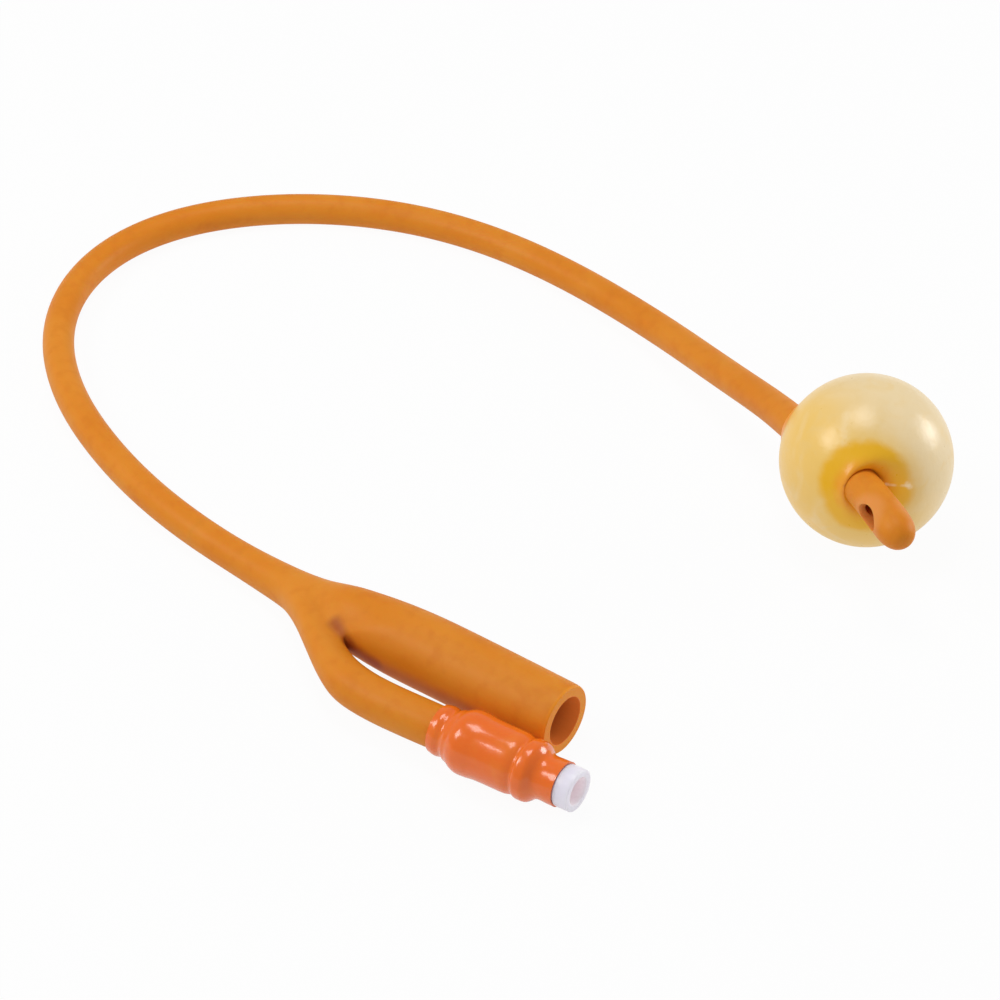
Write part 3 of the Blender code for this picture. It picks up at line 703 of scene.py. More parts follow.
@dataclass(frozen=True)
class BalloonFinish:
    """Stretched latex skin, cloudy cream, yellow where it gathers round the tube."""

    centre: Vector
    leave: Vector
    enter: Vector
    name: str = "stretched_latex"
    pale_side: Point = (0.431, 0.770, 0.470)
    straw: Colour = (0.770, 0.500, 0.125)
    cream: Tint = Tint((0.750, 0.590, 0.340), -0.35, 0.60)
    haze: Tint = Tint((0.770, 0.500, 0.125), 0.45, 0.80, 0.25)
    murk: Tint = Tint((0.740, 0.520, 0.200), 0.48, 0.72, 0.40)
    milk: Tint = Tint((0.800, 0.640, 0.400), 0.52, 0.30, 0.35)
    warm: Tint = Tint((0.770, 0.500, 0.125), 0.70, 0.85, 0.5)
    halo: Tint = Tint((0.750, 0.400, 0.006), 0.810, 0.880)
    gathered: Tint = Tint((0.760, 0.280, 0.012), 0.90, 0.98)
    # Thin dark red line round the tube where the skin tucks in: a painted contact shadow.
    line: Tint = Tint((0.330, 0.055, 0.010), 0.966, 0.988)
    entry: Tint = Tint((0.760, 0.280, 0.012), 0.84, 0.95)
    # Pale colour of streaks along creases in the skin: painted highlights, as the creases are not in
    # the skin's shape.
    film: Colour = (0.880, 0.740, 0.500)
    patchy: float = 0.7
    wander: float = 0.07
    ragged: float = 0.05
    pale_run: Pair = (-0.20, 0.25)
    pale_cut: float = 0.7
    broken: Pair = (0.25, 0.6)
    # Streaks along creases in the skin, painted pale as highlights.
    crease_highlights: tuple[Mark, ...] = (
        Mark((0.0723, 0.0201, 0.0176), (0.0753, 0.0218, 0.0176), 0.0001, 0.0004, 0.55),
        Mark((0.0751, 0.0217, 0.0179), (0.0754, 0.0219, 0.0174), 0.0002, 0.0007, 0.45),
        Mark((0.0636, 0.0215, 0.0261), (0.0656, 0.0182, 0.0237), 0.0001, 0.0012, 0.25),
    )

    def material(self) -> bpy.types.Material:
        """Builds the material.

        Returns:
            The material.
        """
        sheet = Sheet.of_material(self.name)
        drift = sheet.cloud(scale=110.0, warp=0.8)
        blot = sheet.cloud(scale=260.0, detail=4.0, warp=1.2)
        fine = sheet.cloud(scale=900.0)
        pale = sheet.nearness(self.centre, self.pale_side) + (drift - 0.5) * self.patchy
        entering = sheet.nearness(self.centre, self.enter)
        leaving = sheet.nearness(self.centre, self.leave)
        leaving = leaving + (drift - 0.5) * self.wander + (blot - 0.5) * self.ragged
        unpale = 1.0 - pale.smooth(*self.pale_run) * self.pale_cut
        colour = self.cream.over(self.straw, pale)
        colour = self.haze.over(colour, drift)
        colour = self.murk.over(colour, blot)
        colour = self.milk.over(colour, drift)
        colour = self.warm.over(colour, leaving)
        colour = self.halo.over(colour, leaving)
        colour = self.gathered.over(colour, leaving, unpale)
        colour = self.line.over(colour, leaving)
        colour = self.entry.over(colour, entering)
        for fold in self.crease_highlights:
            colour = sheet.mix(fold.share(sheet) * fine.smooth(*self.broken), colour, self.film)
        return sheet.dress(
            {
                "Base Color": colour,
                "Roughness": 0.24 + fine * 0.12,
                "Normal": sheet.bump(fine + drift * 2.0, depth=0.00004),
                # The skin glows a little in its own colour: painted light that stands in for light
                # coming through it.
                "Emission Color": colour,
                "Emission Strength": 0.12,
            }
        )


@dataclass(frozen=True)
class SleeveFinish:
    """Shrunk orange film, glossy."""

    name: str = "shrunk_orange"
    orange: Colour = (0.870, 0.150, 0.003)
    pale: Tint = Tint((0.870, 0.200, 0.012), 0.45, 0.75, 0.6)

    def material(self) -> bpy.types.Material:
        """Builds the material.

        Returns:
            The material.
        """
        sheet = Sheet.of_material(self.name)
        drift = sheet.cloud(scale=260.0, warp=0.5)
        fine = sheet.cloud(scale=1500.0, detail=2.0)
        return sheet.dress(
            {
                "Base Color": self.pale.over(self.orange, drift),
                "Roughness": 0.20 + fine * 0.10,
                "Normal": sheet.bump(drift + fine, depth=0.00002),
                "Specular IOR Level": 0.25,
                "Coat Weight": 0.8,
                "Coat Roughness": 0.13,
                "Subsurface Weight": 0.12,
                "Subsurface Radius": (1.0, 0.4, 0.2),
                "Subsurface Scale": 0.0008,
            }
        )


@dataclass(frozen=True)
class MouldedFinish:
    """Moulded plastic or rubber with a fine skin, or drawn steel."""

    name: str
    colour: Colour
    shade: Colour
    roughness: float
    glow: float = 0.0
    metallic: float = 0.0
    # A warm tint painted inside a socket along the mark, in colour and in emission: a painted glow.
    warm: Optional[Mark] = None
    painted_glow: Colour = (0.90, 0.76, 0.74)
    dark: Colour = (0.0, 0.0, 0.0)

    def material(self) -> bpy.types.Material:
        """Builds the material.

        Returns:
            The material.
        """
        sheet = Sheet.of_material(self.name)
        drift = sheet.cloud(scale=330.0)
        fine = sheet.cloud(scale=3000.0, detail=2.0)
        colour = Tint(self.shade, 0.35, 0.75).over(self.colour, drift)
        shining = self.dark
        if self.warm:
            share = self.warm.share(sheet)
            colour = sheet.mix(share, colour, self.painted_glow)
            shining = sheet.mix(share, shining, self.painted_glow)
        return sheet.dress(
            {
                "Base Color": colour,
                "Roughness": self.roughness + fine * 0.12,
                "Emission Color": shining,
                "Emission Strength": 0.2,
                "Metallic": self.metallic,
                "Normal": sheet.bump(fine + drift, depth=0.00002),
                "Subsurface Weight": self.glow,
                "Subsurface Radius": (1.0, 0.95, 1.0),
                "Subsurface Scale": 0.0025,
            }
        )


Finish = Union[LatexFinish, BalloonFinish, SleeveFinish, MouldedFinish]


def dress_piece(piece: Piece, finish: Finish) -> None:
    """Gives a piece one finish."""
    piece.data.materials.clear()
    piece.data.materials.append(finish.material())


# The catheter


@dataclass
class TubeSizes:
    """Sizes of the tube, its Y and its tip.

    The nose is a list of (share of its length back, share of its radius), and an eye's flare one of
    (reach from the tube's axis, growth of the opening). The bulb is counted in widths of the tip, and
    the arm's lumen starts at (length along the arm, radius).
    """

    shaft: float = 0.00533
    coated: float = 0.0058
    tip: float = 0.0061
    coat_run: float = 0.012
    tip_beyond_balloon: float = 0.0154
    tip_nose: float = 0.0065
    lumen: float = 0.0028
    lumen_off: float = -0.0006
    tip_wall: float = 0.0022
    eye_length: float = 0.0050
    eye_width: float = 0.0034
    eye_from_tip: float = 0.0074
    eye_stagger: float = 0.0024
    eye_tilt: float = math.radians(2)
    eye_flare: tuple[Pair, ...] = ((0.0, 0.0), (0.0024, 0.0), (0.0029, 0.00012), (0.0034, 0.0006))
    bulb: float = 1.5
    bulb_run: float = 0.5
    nose: tuple[Pair, ...] = ((0.0, 0.30), (0.11, 0.66), (0.34, 0.93), (0.65, 1.0))
    mouth: Vector = field(default_factory=lambda: Vector((0.0562, -0.0426, 0.0056)))
    funnel_length: float = 0.0382
    funnel_rise: float = 0.0009
    funnel_mouth: float = 0.0112
    funnel_wide: float = 0.01156
    funnel_widest: float = 0.6
    funnel_neck: float = 0.0093
    funnel_bore: float = 0.0077
    funnel_bore_neck: float = 0.0038
    funnel_edge: float = 0.00025
    split: float = 0.004
    trunk_length: float = 0.0165
    trunk: float = 0.0063
    trunk_swell: float = 0.009
    lobe_spread: float = 0.0082
    lobe_curve: float = 1.55
    lobe_fan: float = math.radians(55)
    fan_left: tuple[float, ...] = (0.65, 0.35, 0.12)
    trunk_bend: float = 0.38
    crotch_height: float = 0.0026
    crotch_web: float = 0.0003
    arm: float = 0.0067
    arm_neck: float = 0.0057
    arm_neck_run: float = 0.0038
    arm_squeeze: float = 0.0002
    squeeze_run: float = 0.0008
    shoulder_run: float = 0.0026
    sleeve_on_arm: float = 0.0026
    socket: float = 0.0083
    socket_hump: float = 0.00025
    socket_bore: float = 0.0064
    socket_step: float = 0.0002
    barb_gap: float = 0.0003
    barb_room: float = 0.001
    lumen_taper: float = 0.003
    lumen_wide: float = 0.0010
    lumen_narrow: float = 0.0008
    lumen_start: Pair = (0.004, 0.0005)
    overrun: float = 0.002


@dataclass
class ValveSizes:
    """Sizes of the check valve along its axis, measured back from its mouth."""

    mouth: Vector = field(default_factory=lambda: Vector((0.0662, -0.0534, 0.0050)))
    heading: float = math.radians(1.9)
    luer: float = 0.0043
    luer_end: float = 0.00385
    luer_depth: float = 0.0075
    rim: float = 0.0066
    rim_length: float = 0.0026
    neck: float = 0.0056
    flange_front: float = 0.0073
    flange_back: float = 0.0087
    flange: float = 0.0082
    barrel: float = 0.0058
    barrel_back: float = 0.0169
    chamber: float = 0.0044
    seat_back: float = 0.0090
    seat_bore: float = 0.0030
    socket_end: float = 0.0099
    socket_floor: float = 0.01855
    socket_base: float = 0.0006
    barb: float = 0.0025
    barb_length: float = 0.0042
    travel: float = 0.0018
    edge: float = 0.00028
    # Where the painted warm glow runs inside the socket, back from the mouth.
    painted_glow_run: Pair = (0.0008, 0.0060)

    def at(self, back: float) -> Vector:
        """A point on the valve's axis."""
        heading = Vector((math.cos(self.heading), math.sin(self.heading), 0.0))
        return self.mouth - back * heading


# The shaft's route from the Y to beyond its tip, as x, y and how far its underside is off the table
SHAFT_ROUTE = (
    (0.0015, -0.0399, 0.0006),
    (-0.0096, -0.0384, 0.0),
    (-0.0210, -0.0367, 0.0),
    (-0.0331, -0.0336, 0.0),
    (-0.0458, -0.0287, 0.0),
    (-0.0591, -0.0214, 0.0),
    (-0.0718, -0.0101, 0.0),
    (-0.0796, 0.0042, 0.0),
    (-0.0808, 0.0176, 0.0),
    (-0.0772, 0.0289, 0.0),
    (-0.0709, 0.0376, 0.0),
    (-0.0631, 0.0446, 0.0),
    (-0.0541, 0.0501, 0.0),
    (-0.0441, 0.0540, 0.0),
    (-0.0331, 0.0561, 0.0),
    (-0.0214, 0.0564, 0.0),
    (-0.0091, 0.0551, 0.0001),
    (0.0037, 0.0519, 0.0009),
    (0.0171, 0.0469, 0.0027),
    (0.0310, 0.0401, 0.0057),
    (0.0433, 0.0334, 0.0093),
    (0.0568, 0.0247, 0.0131),
    (0.0696, 0.0173, 0.0152),
    (0.0797, 0.0107, 0.0153),
    (0.0890, 0.0047, 0.0150),
)

# The arm's bend, as x and y, and where it runs straight
ARM_ROUTE = ((0.0223, -0.0531), (0.0258, -0.0544))
ARM_STRAIGHT_X = 0.0295

# Streaks of shade from the crotch of the Y along the gap between funnel and arm
CROTCH_SHADE = (
    Mark((0.0170, -0.0471, 0.0081), (0.0205, -0.0481, 0.0064), 0.0001, 0.0019, 0.75),
    Mark((0.0205, -0.0481, 0.0060), (0.0255, -0.0484, 0.0050), 0.0002, 0.0021, 0.80),
    Mark((0.0250, -0.0484, 0.0047), (0.0430, -0.0483, 0.0045), 0.0002, 0.0024, 0.45),
)


@dataclass
class BalloonSizes:
    """Sizes of the balloon.

    A cuff's stations are shares of its length, from its end to just past the lip.
    """

    centre: Vector = field(default_factory=lambda: Vector((0.0644, 0.0278, 0.0139)))
    radius: float = 0.0139
    wall: float = 0.00035
    dimple: float = 0.0018
    cuff: float = 0.0030
    cuff_stations: tuple[float, ...] = (1.0, 0.4, 0.0, -0.12)
    spread: float = 0.0065
    crest: float = 0.55
    crest_lift: float = 0.25
    gap: float = 0.00004


@dataclass
class SleeveSizes:
    """Sizes of the shrunk sleeve, with its outer stations as (distance back, radius)."""

    wall: float = 0.00028
    crease: float = 0.00011
    crease_along: float = 130.0
    crease_round: float = 200.0
    smooth_front: float = 0.0012
    smooth_back: float = 0.0010
    outer: tuple[Pair, ...] = (
        (0.00262, 0.00352),
        (0.0040, 0.00347),
        (0.0054, 0.00345),
        (0.0062, 0.00372),
        (0.0068, 0.00428),
        (0.0073, 0.00464),
        (0.0080, 0.00474),
        (0.0088, 0.00470),
        (0.0094, 0.00432),
        (0.0099, 0.00452),
        (0.0107, 0.00474),
        (0.0125, 0.00478),
        (0.0145, 0.00476),
        (0.0162, 0.00480),
        (0.0176, 0.00496),
        (0.0190, 0.00500),
        (0.0200, 0.00472),
        (0.0208, 0.00428),
        (0.0214, 0.00410),
        (0.0221, 0.00372),
        (0.0232, 0.00394),
        (0.0243, 0.00376),
    )


class Tube:
    """The latex body: tip, shaft, Y, funnel and arm, grown as one cage and parted at a seam."""

    SIDES = 12
    # The numbers of a ring's top and bottom points, counted from its side
    TOP = 3
    BOTTOM = 9
    SHAFT_STEP = 0.010
    SEAM_RINGS = 2
    # Where the rings lie, as shares of each part's length
    TRUNK_SHARES = (0.2, 0.4, 0.58, 0.74, 0.88, 1.0)
    FUNNEL_SHARES = (0.89, 0.79, 0.69, 0.58, 0.46, 0.33, 0.19, 0.06)
    SOCKET_SHARES = (0.3, 0.7)
    WEB_POINTS = 5
    ARM_STEPS = 4
    # What is left of the shoulder's run at its bend, and how much of its rise is reached there
    SHOULDER = (0.4, 0.75)
    BORE_SIDES = 40
    BORE_SHARES = (-0.05, 0.0, 0.25, 0.5, 0.75, 1.0)
    BRANCH_STEPS = 16
    SHAFT_STEPS = 90
    PATH_STEPS = 160

    def __init__(self, sizes: TubeSizes, valve: ValveSizes, balloon: BalloonSizes) -> None:
        """Works out the routes and the stations on them.

        Args:
            sizes: the tube's sizes.
            valve: the valve's sizes.
            balloon: the balloon's sizes.
        """
        self.sizes = sizes
        self.valve = valve
        self.balloon = balloon
        self.scale = cage_swell(math.tau / self.SIDES)
        self.drain = self._drain_route()
        self.trunk = sizes.split + sizes.trunk_length
        self.enter, self.leave = self.drain.crossings(balloon.centre, balloon.radius)
        self.tip = self.leave - balloon.dimple + sizes.tip_beyond_balloon
        self.arm = self._arm_route()
        nose = self.tip - sizes.tip_nose
        count = round((nose - self.trunk) / self.SHAFT_STEP)
        self.stations = [blend(nose, self.trunk, k / count) for k in range(count + 1)]
        self.seam = self.stations[-1 - self.SEAM_RINGS]

    def _funnel_centre(self, back: float) -> Vector:
        """A point on the funnel's axis, measured back from its mouth."""
        rise = back / self.sizes.funnel_length * self.sizes.funnel_rise
        return self.sizes.mouth + Vector((-back, 0.0, rise))

    def _funnel_radius(self, back: float) -> float:
        """Outer radius of the funnel.

        Args:
            back: the distance back from the mouth.

        Returns:
            The radius.
        """
        sizes = self.sizes
        share = back / sizes.funnel_length
        if share < sizes.funnel_widest:
            swell = math.sin(share / sizes.funnel_widest * math.pi / 2)
            return blend(sizes.funnel_mouth, sizes.funnel_wide, swell) / 2
        fall = ((share - sizes.funnel_widest) / (1 - sizes.funnel_widest)) ** 2
        return blend(sizes.funnel_wide, sizes.funnel_neck, fall) / 2

    def _drain_route(self) -> Route:
        """The drainage line from the split of the Y to beyond the tip.

        Returns:
            The route.
        """
        radius = self.sizes.shaft / 2
        split = self._funnel_centre(self.sizes.funnel_length)
        end = Vector((SHAFT_ROUTE[0][0], SHAFT_ROUTE[0][1], radius))
        middle = split.lerp(end, 0.5)
        middle.y = blend(self.sizes.mouth.y, end.y, self.sizes.trunk_bend)
        points = [split + Vector((self.sizes.split, 0.0, 0.0)), split, middle]
        points += [Vector((x, y, radius + lift)) for x, y, lift in SHAFT_ROUTE]
        return Route(points, hand=-1)

    def _arm_route(self) -> Route:
        """The arm's axis from the Y to the end of its socket.

        Returns:
            The route.
        """
        valve = self.valve
        start = self.drain.at(self.sizes.split)
        start.y -= self.sizes.lobe_spread
        start.z = valve.mouth.z
        straight = (valve.mouth.x - ARM_STRAIGHT_X) / math.cos(valve.heading)
        points = [start, *[Vector((x, y, valve.mouth.z)) for x, y in ARM_ROUTE]]
        middle = (straight + valve.socket_end) / 2
        points += [valve.at(back) for back in (straight, middle, valve.socket_end)]
        return Route(points, hand=1)

    def _shaft_radius(self, s: float) -> float:
        """Outer radius of the shaft at a length.

        Args:
            s: the length along the curve.

        Returns:
            The radius.
        """
        sizes = self.sizes
        if s < self.trunk + sizes.trunk_swell:
            return blend(sizes.trunk, sizes.shaft, ease((s - self.trunk) / sizes.trunk_swell)) / 2
        coat = ease((s - (self.enter - sizes.coat_run)) / sizes.coat_run)
        bulb = ease((s - (self.tip - sizes.bulb * sizes.tip)) / (sizes.bulb_run * sizes.tip))
        return blend(blend(sizes.shaft, sizes.coated, coat), sizes.tip, bulb) / 2

    def _trunk_ring(self, s: float) -> list[Vector]:
        """A ring of two lobes that draw apart, the funnel's and the arm's.

        Args:
            s: the length along the curve.

        Returns:
            The points.
        """
        sizes = self.sizes
        centre, side, up = self.drain.axes(s)
        part = max((self.trunk - s) / sizes.trunk_length, 0.0)
        apart = part**sizes.lobe_curve
        spread = blend(math.tau / self.SIDES, sizes.lobe_fan, apart)
        swell = cage_swell(spread)
        big = blend(sizes.trunk, sizes.funnel_neck, part) / 2 * swell
        small = blend(sizes.trunk, sizes.arm_neck, part) / 2 * swell
        rise = blend(0.0, self.valve.mouth.z - centre.z, part)
        arm_centre = centre - side * sizes.lobe_spread * apart + up * rise
        valley = blend(big, sizes.crotch_height / 2, apart)
        dip = (centre + arm_centre) / 2 - side * (big - small) * 0.5 * apart
        points = []
        for k in range(self.SIDES):
            if k in (self.TOP, self.BOTTOM):
                points.append(dip + up * (valley if k == self.TOP else -valley))
            elif self.TOP < k < self.BOTTOM:
                a = spread * (k - self.SIDES // 2)
                points.append(arm_centre - side * small * math.cos(a) - up * small * math.sin(a))
            else:
                a = spread * (k if k < self.TOP else k - self.SIDES)
                points.append(centre + side * big * math.cos(a) + up * big * math.sin(a))
        return points

    def _fan_ring(
        self, axes: tuple[Vector, Vector, Vector], radius: float, fan: float, outer: int = 0
    ) -> list[Vector]:
        """A ring with wide steps round its outer point and short ones opposite.

        Args:
            axes: the ring's centre, side and up.
            radius: the round that the ring smooths to.
            fan: how much of the lobes' fan is left, from 0 for even steps to 1.
            outer: the number of the outer point.

        Returns:
            The points.
        """
        centre, side, up = axes
        wide = blend(math.tau / self.SIDES, self.sizes.lobe_fan, fan)
        short = (math.tau - 2 * self.TOP * wide) / (self.SIDES - 2 * self.TOP)
        reach = radius * cage_swell(wide)
        points = []
        for k in range(self.SIDES):
            step = (k - outer) % self.SIDES
            if step >= self.SIDES - self.TOP:
                step -= self.SIDES
            a = wide * min(step, self.TOP) + short * max(step - self.TOP, 0)
            a += math.tau * outer / self.SIDES
            points.append(centre + (side * math.cos(a) + up * math.sin(a)) * reach)
        return points

    def _grow_shaft(self) -> tuple[Skin, int]:
        """Grows the cage from the tip to the split.

        Returns:
            The skin, and how many of its faces lie before the seam.
        """
        sizes = self.sizes
        rings = []
        for along, share in sizes.nose:
            radius = sizes.tip / 2 * share * self.scale
            rings.append(self.drain.ring(self.tip - along * sizes.tip_nose, radius, self.SIDES))
        skin = Skin("latex_tube", rings[0])
        skin.cap(skin.last)
        for ring in rings[1:]:
            skin.grow(ring)
        before = 0
        for s in self.stations:
            skin.grow(self.drain.ring(s, self._shaft_radius(s) * self.scale, self.SIDES))
            if s == self.seam:
                before = skin.count()
        for share in self.TRUNK_SHARES:
            skin.grow(self._trunk_ring(blend(self.trunk, sizes.split, share)))
        return skin, before

    def _grow_crotch(self, skin: Skin) -> tuple[list[int], list[int]]:
        """Draws the web between the branches.

        Args:
            skin: the skin, grown to the split.

        Returns:
            The funnel's first ring and the arm's.
        """
        split = skin.last
        bpy.ops.mesh.select_all(action="DESELECT")
        bpy.ops.mesh.select_mode(type="VERT")
        mesh = skin.mesh()
        top = mesh.verts[split[self.TOP]]
        bottom = mesh.verts[split[self.BOTTOM]]
        ends = (top.co.copy(), bottom.co.copy())
        top.select_set(True)
        bottom.select_set(True)
        bmesh.update_edit_mesh(skin.piece.data)
        first = len(mesh.verts)
        bpy.ops.mesh.edge_face_add()
        count = self.WEB_POINTS
        bpy.ops.mesh.subdivide(number_cuts=count)
        bpy.ops.mesh.select_mode(type="EDGE")
        mesh = skin.mesh()
        web = sorted(range(first, first + count), key=lambda k: -mesh.verts[k].co.z)
        points = []
        for k in range(1, count + 1):
            share = k / (count + 1)
            point = ends[0].lerp(ends[1], share)
            point.x += self.sizes.crotch_web * math.sin(share * math.pi)
            points.append(point)
        skin.place(web, points)
        funnel = [*split[: self.TOP + 1], *web, *split[self.BOTTOM :]]
        upper = web[: count // 2 + 1]
        lower = web[count // 2 + 1 :]
        arm = [*reversed(upper), *split[self.TOP : self.BOTTOM + 1], *reversed(lower)]
        return funnel, arm

    def _grow_funnel(self, skin: Skin, ring: list[int]) -> None:
        """Grows the funnel out to its flat mouth.

        Args:
            skin: the skin.
            ring: the funnel's first ring.
        """
        sizes = self.sizes
        stops = [(share * sizes.funnel_length, 0.0) for share in self.FUNNEL_SHARES]
        stops += [(sizes.funnel_edge, 0.0), (0.0, sizes.funnel_edge)]
        fans = sizes.fan_left + (0.0,) * len(stops)
        for (back, less), fan in zip(stops, fans):
            axes = (self._funnel_centre(back), ACROSS, UP)
            ring = skin.grow(self._fan_ring(axes, self._funnel_radius(back) - less, fan), ring)
        skin.cap(ring, sharp=True)

    def _grow_arm(self, skin: Skin, ring: list[int]) -> None:
        """Grows the arm out to the end of its socket.

        Args:
            skin: the skin.
            ring: the arm's first ring.
        """
        sizes = self.sizes
        length = self.arm.length
        end = self.valve.socket_floor + self.valve.socket_base
        shoulder = length - (end - self.valve.socket_end)
        squeezed = sizes.arm / 2 - sizes.arm_squeeze
        start = shoulder - sizes.shoulder_run - sizes.sleeve_on_arm
        free = start - sizes.arm_neck_run * 2
        wide = sizes.socket / 2
        left, rise = self.SHOULDER
        steps = self.ARM_STEPS
        plan = [(sizes.arm_neck_run, sizes.arm_neck / 2)]
        plan += [(sizes.arm_neck_run * 2 + free * k / steps, sizes.arm / 2) for k in range(steps + 1)]
        plan += [(start + sizes.squeeze_run, squeezed), (shoulder - sizes.shoulder_run, squeezed)]
        plan += [(shoulder - sizes.shoulder_run * left, blend(squeezed, wide, rise))]
        plan += [(shoulder, wide + sizes.socket_hump)]
        plan += [(blend(shoulder, length, share), wide) for share in self.SOCKET_SHARES]
        plan += [(length, wide)]
        fans = sizes.fan_left[:2] + (0.0,) * len(plan)
        for (s, radius), fan in zip(plan, fans):
            axes = self.arm.axes(s)
            ring = skin.grow(self._fan_ring(axes, radius, fan, outer=self.SIDES // 2), ring)
        skin.cap(ring, sharp=True)

    def _drain_cutter(self) -> Piece:
        """The drainage lumen, with the seam's ring in it and the two halves marked.

        Returns:
            The cutter.
        """
        sizes = self.sizes
        wide = sizes.funnel_bore / 2
        narrow = sizes.funnel_bore_neck / 2
        rings = []
        for share in self.BORE_SHARES:
            radius = blend(wide, narrow, max(share, 0.0))
            centre = self._funnel_centre(share * sizes.funnel_length)
            rings.append(circle(centre, ACROSS, UP, radius, self.BORE_SIDES))
        before = len(rings) - 1 + self.BRANCH_STEPS
        stretches = (
            (sizes.split, self.seam, self.BRANCH_STEPS),
            (self.seam, self.tip - sizes.tip_wall, self.SHAFT_STEPS),
        )
        for start, end, steps in stretches:
            for k in range(1, steps + 1):
                s = blend(start, end, k / steps)
                share = ease((s - sizes.split) / sizes.trunk_length)
                radius = blend(narrow, sizes.lumen / 2, share)
                rings.append(self.drain.ring(s, radius, self.BORE_SIDES, -sizes.lumen_off * share))
        skin = skin_of("drain_lumen", rings)
        skin.mark(1, range(self.BORE_SIDES * before))
        return skin.finish()

    def _arm_cutter(self) -> Piece:
        """The bore of the arm's socket, with the run round the valve's barb.

        Returns:
            The cutter.
        """
        sizes = self.sizes
        valve = self.valve
        length = self.arm.length
        floor = length - (valve.socket_floor - valve.socket_end)
        barb = floor - valve.barb_length
        wide = sizes.socket_bore / 2
        bore = valve.barb / 2 + sizes.barb_gap
        plan = [(floor, wide), (floor - sizes.socket_step, bore), (barb - sizes.barb_room, bore)]
        plan += [(barb - sizes.lumen_taper, sizes.lumen_wide), (barb / 2, sizes.lumen_narrow)]
        plan += [sizes.lumen_start]
        centre, side, up = self.arm.axes(length)
        ahead = self.arm.tangent(length) * sizes.overrun
        rings = [circle(centre + ahead, side, up, wide, self.BORE_SIDES)]
        rings += [self.arm.ring(s, radius, self.BORE_SIDES) for s, radius in plan]
        skin = skin_of("arm_bore", rings)
        skin.mark(1, range(skin.count()))
        return skin.finish()

    def _eye_cutter(self, s: float, turn: float) -> Piece:
        """An oval punch that leaves the tube's axis.

        Args:
            s: the eye's station.
            turn: its turn from the side over the top.

        Returns:
            The punch.
        """
        sizes = self.sizes
        centre, side, up = self.drain.axes(s)
        tangent = self.drain.tangent(s)
        out = side * math.cos(turn) + up * math.sin(turn)
        across = out.cross(tangent)
        rings = []
        for reach, grow in sizes.eye_flare:
            long = tangent * (sizes.eye_length / 2 + grow)
            wide = across * (sizes.eye_width / 2 + grow)
            rings.append(circle(centre + out * reach, long, wide, 1.0, self.BORE_SIDES))
        return skin_of("eye_punch", rings).finish()

    def eyes(self) -> list[Pair]:
        """Station and turn of each eye.

        Returns:
            The pairs, the near eye first.
        """
        near = self.tip - self.sizes.eye_from_tip
        tilt = self.sizes.eye_tilt
        return [(near, tilt), (near + self.sizes.eye_stagger, math.pi + tilt)]

    def eye_places(self) -> tuple[Vector, ...]:
        """Where the eyes open in the tube's wall.

        Returns:
            The places.
        """
        places = []
        for s, turn in self.eyes():
            centre, side, up = self.drain.axes(s)
            out = side * math.cos(turn) + up * math.sin(turn)
            places.append(centre + out * self.sizes.tip / 2)
        return tuple(places)

    def build(self) -> tuple[Piece, Piece]:
        """Builds the body and parts it.

        Returns:
            The shaft with the tip, and the Y.
        """
        skin, before = self._grow_shaft()
        funnel, arm = self._grow_crotch(skin)
        self._grow_funnel(skin, funnel)
        self._grow_arm(skin, arm)
        whole = skin.count()
        skin.mark(1, range(before, whole))
        piece = skin.finish(levels=3)
        for name in ("shaft", "branch"):
            piece.data.materials.append(bpy.data.materials.new(name))
        for cutter in (self._drain_cutter(), self._arm_cutter()):
            for material in piece.data.materials:
                cutter.data.materials.append(material)
            cut_with(piece, cutter)
        for s, turn in self.eyes():
            cutter = self._eye_cutter(s, turn)
            cutter.data.materials.append(piece.data.materials[0])
            cut_with(piece, cutter)
        return self._part(piece)

    def _part(self, piece: Piece) -> tuple[Piece, Piece]:
        """Separates the two pieces at the seam and closes their ends.

        Args:
            piece: the whole body.

        Returns:
            The shaft with the tip, and the Y.
        """
        before = set(bpy.data.objects)
        select_only(piece)
        bpy.ops.object.mode_set(mode="EDIT")
        bpy.ops.mesh.select_all(action="SELECT")
        bpy.ops.mesh.separate(type="MATERIAL")
        bpy.ops.object.mode_set(mode="OBJECT")
        other = (set(bpy.data.objects) - before).pop()
        leftmost = {part: min(corner[0] for corner in part.bound_box) for part in (piece, other)}
        shaft, branch = sorted(leftmost, key=leftmost.get)
        for part in (shaft, branch):
            select_only(part)
            bpy.ops.object.mode_set(mode="EDIT")
            bpy.ops.mesh.select_mode(type="EDGE")
            bpy.ops.mesh.select_all(action="DESELECT")
            bpy.ops.mesh.select_non_manifold()
            bpy.ops.mesh.fill()
            bpy.ops.mesh.select_all(action="SELECT")
            bpy.ops.mesh.normals_make_consistent(inside=False)
            bpy.ops.object.mode_set(mode="OBJECT")
            smooth_shading(part, degrees=40)
        shaft.name = "catheter_tube"
        branch.name = "branch_funnel"
        return shaft, branch

    def path(self) -> list[Vector]:
        """The shaft's axis from the seam to the tip."""
        steps = self.PATH_STEPS
        return [self.drain.at(blend(self.seam, self.tip, k / steps)) for k in range(steps + 1)]


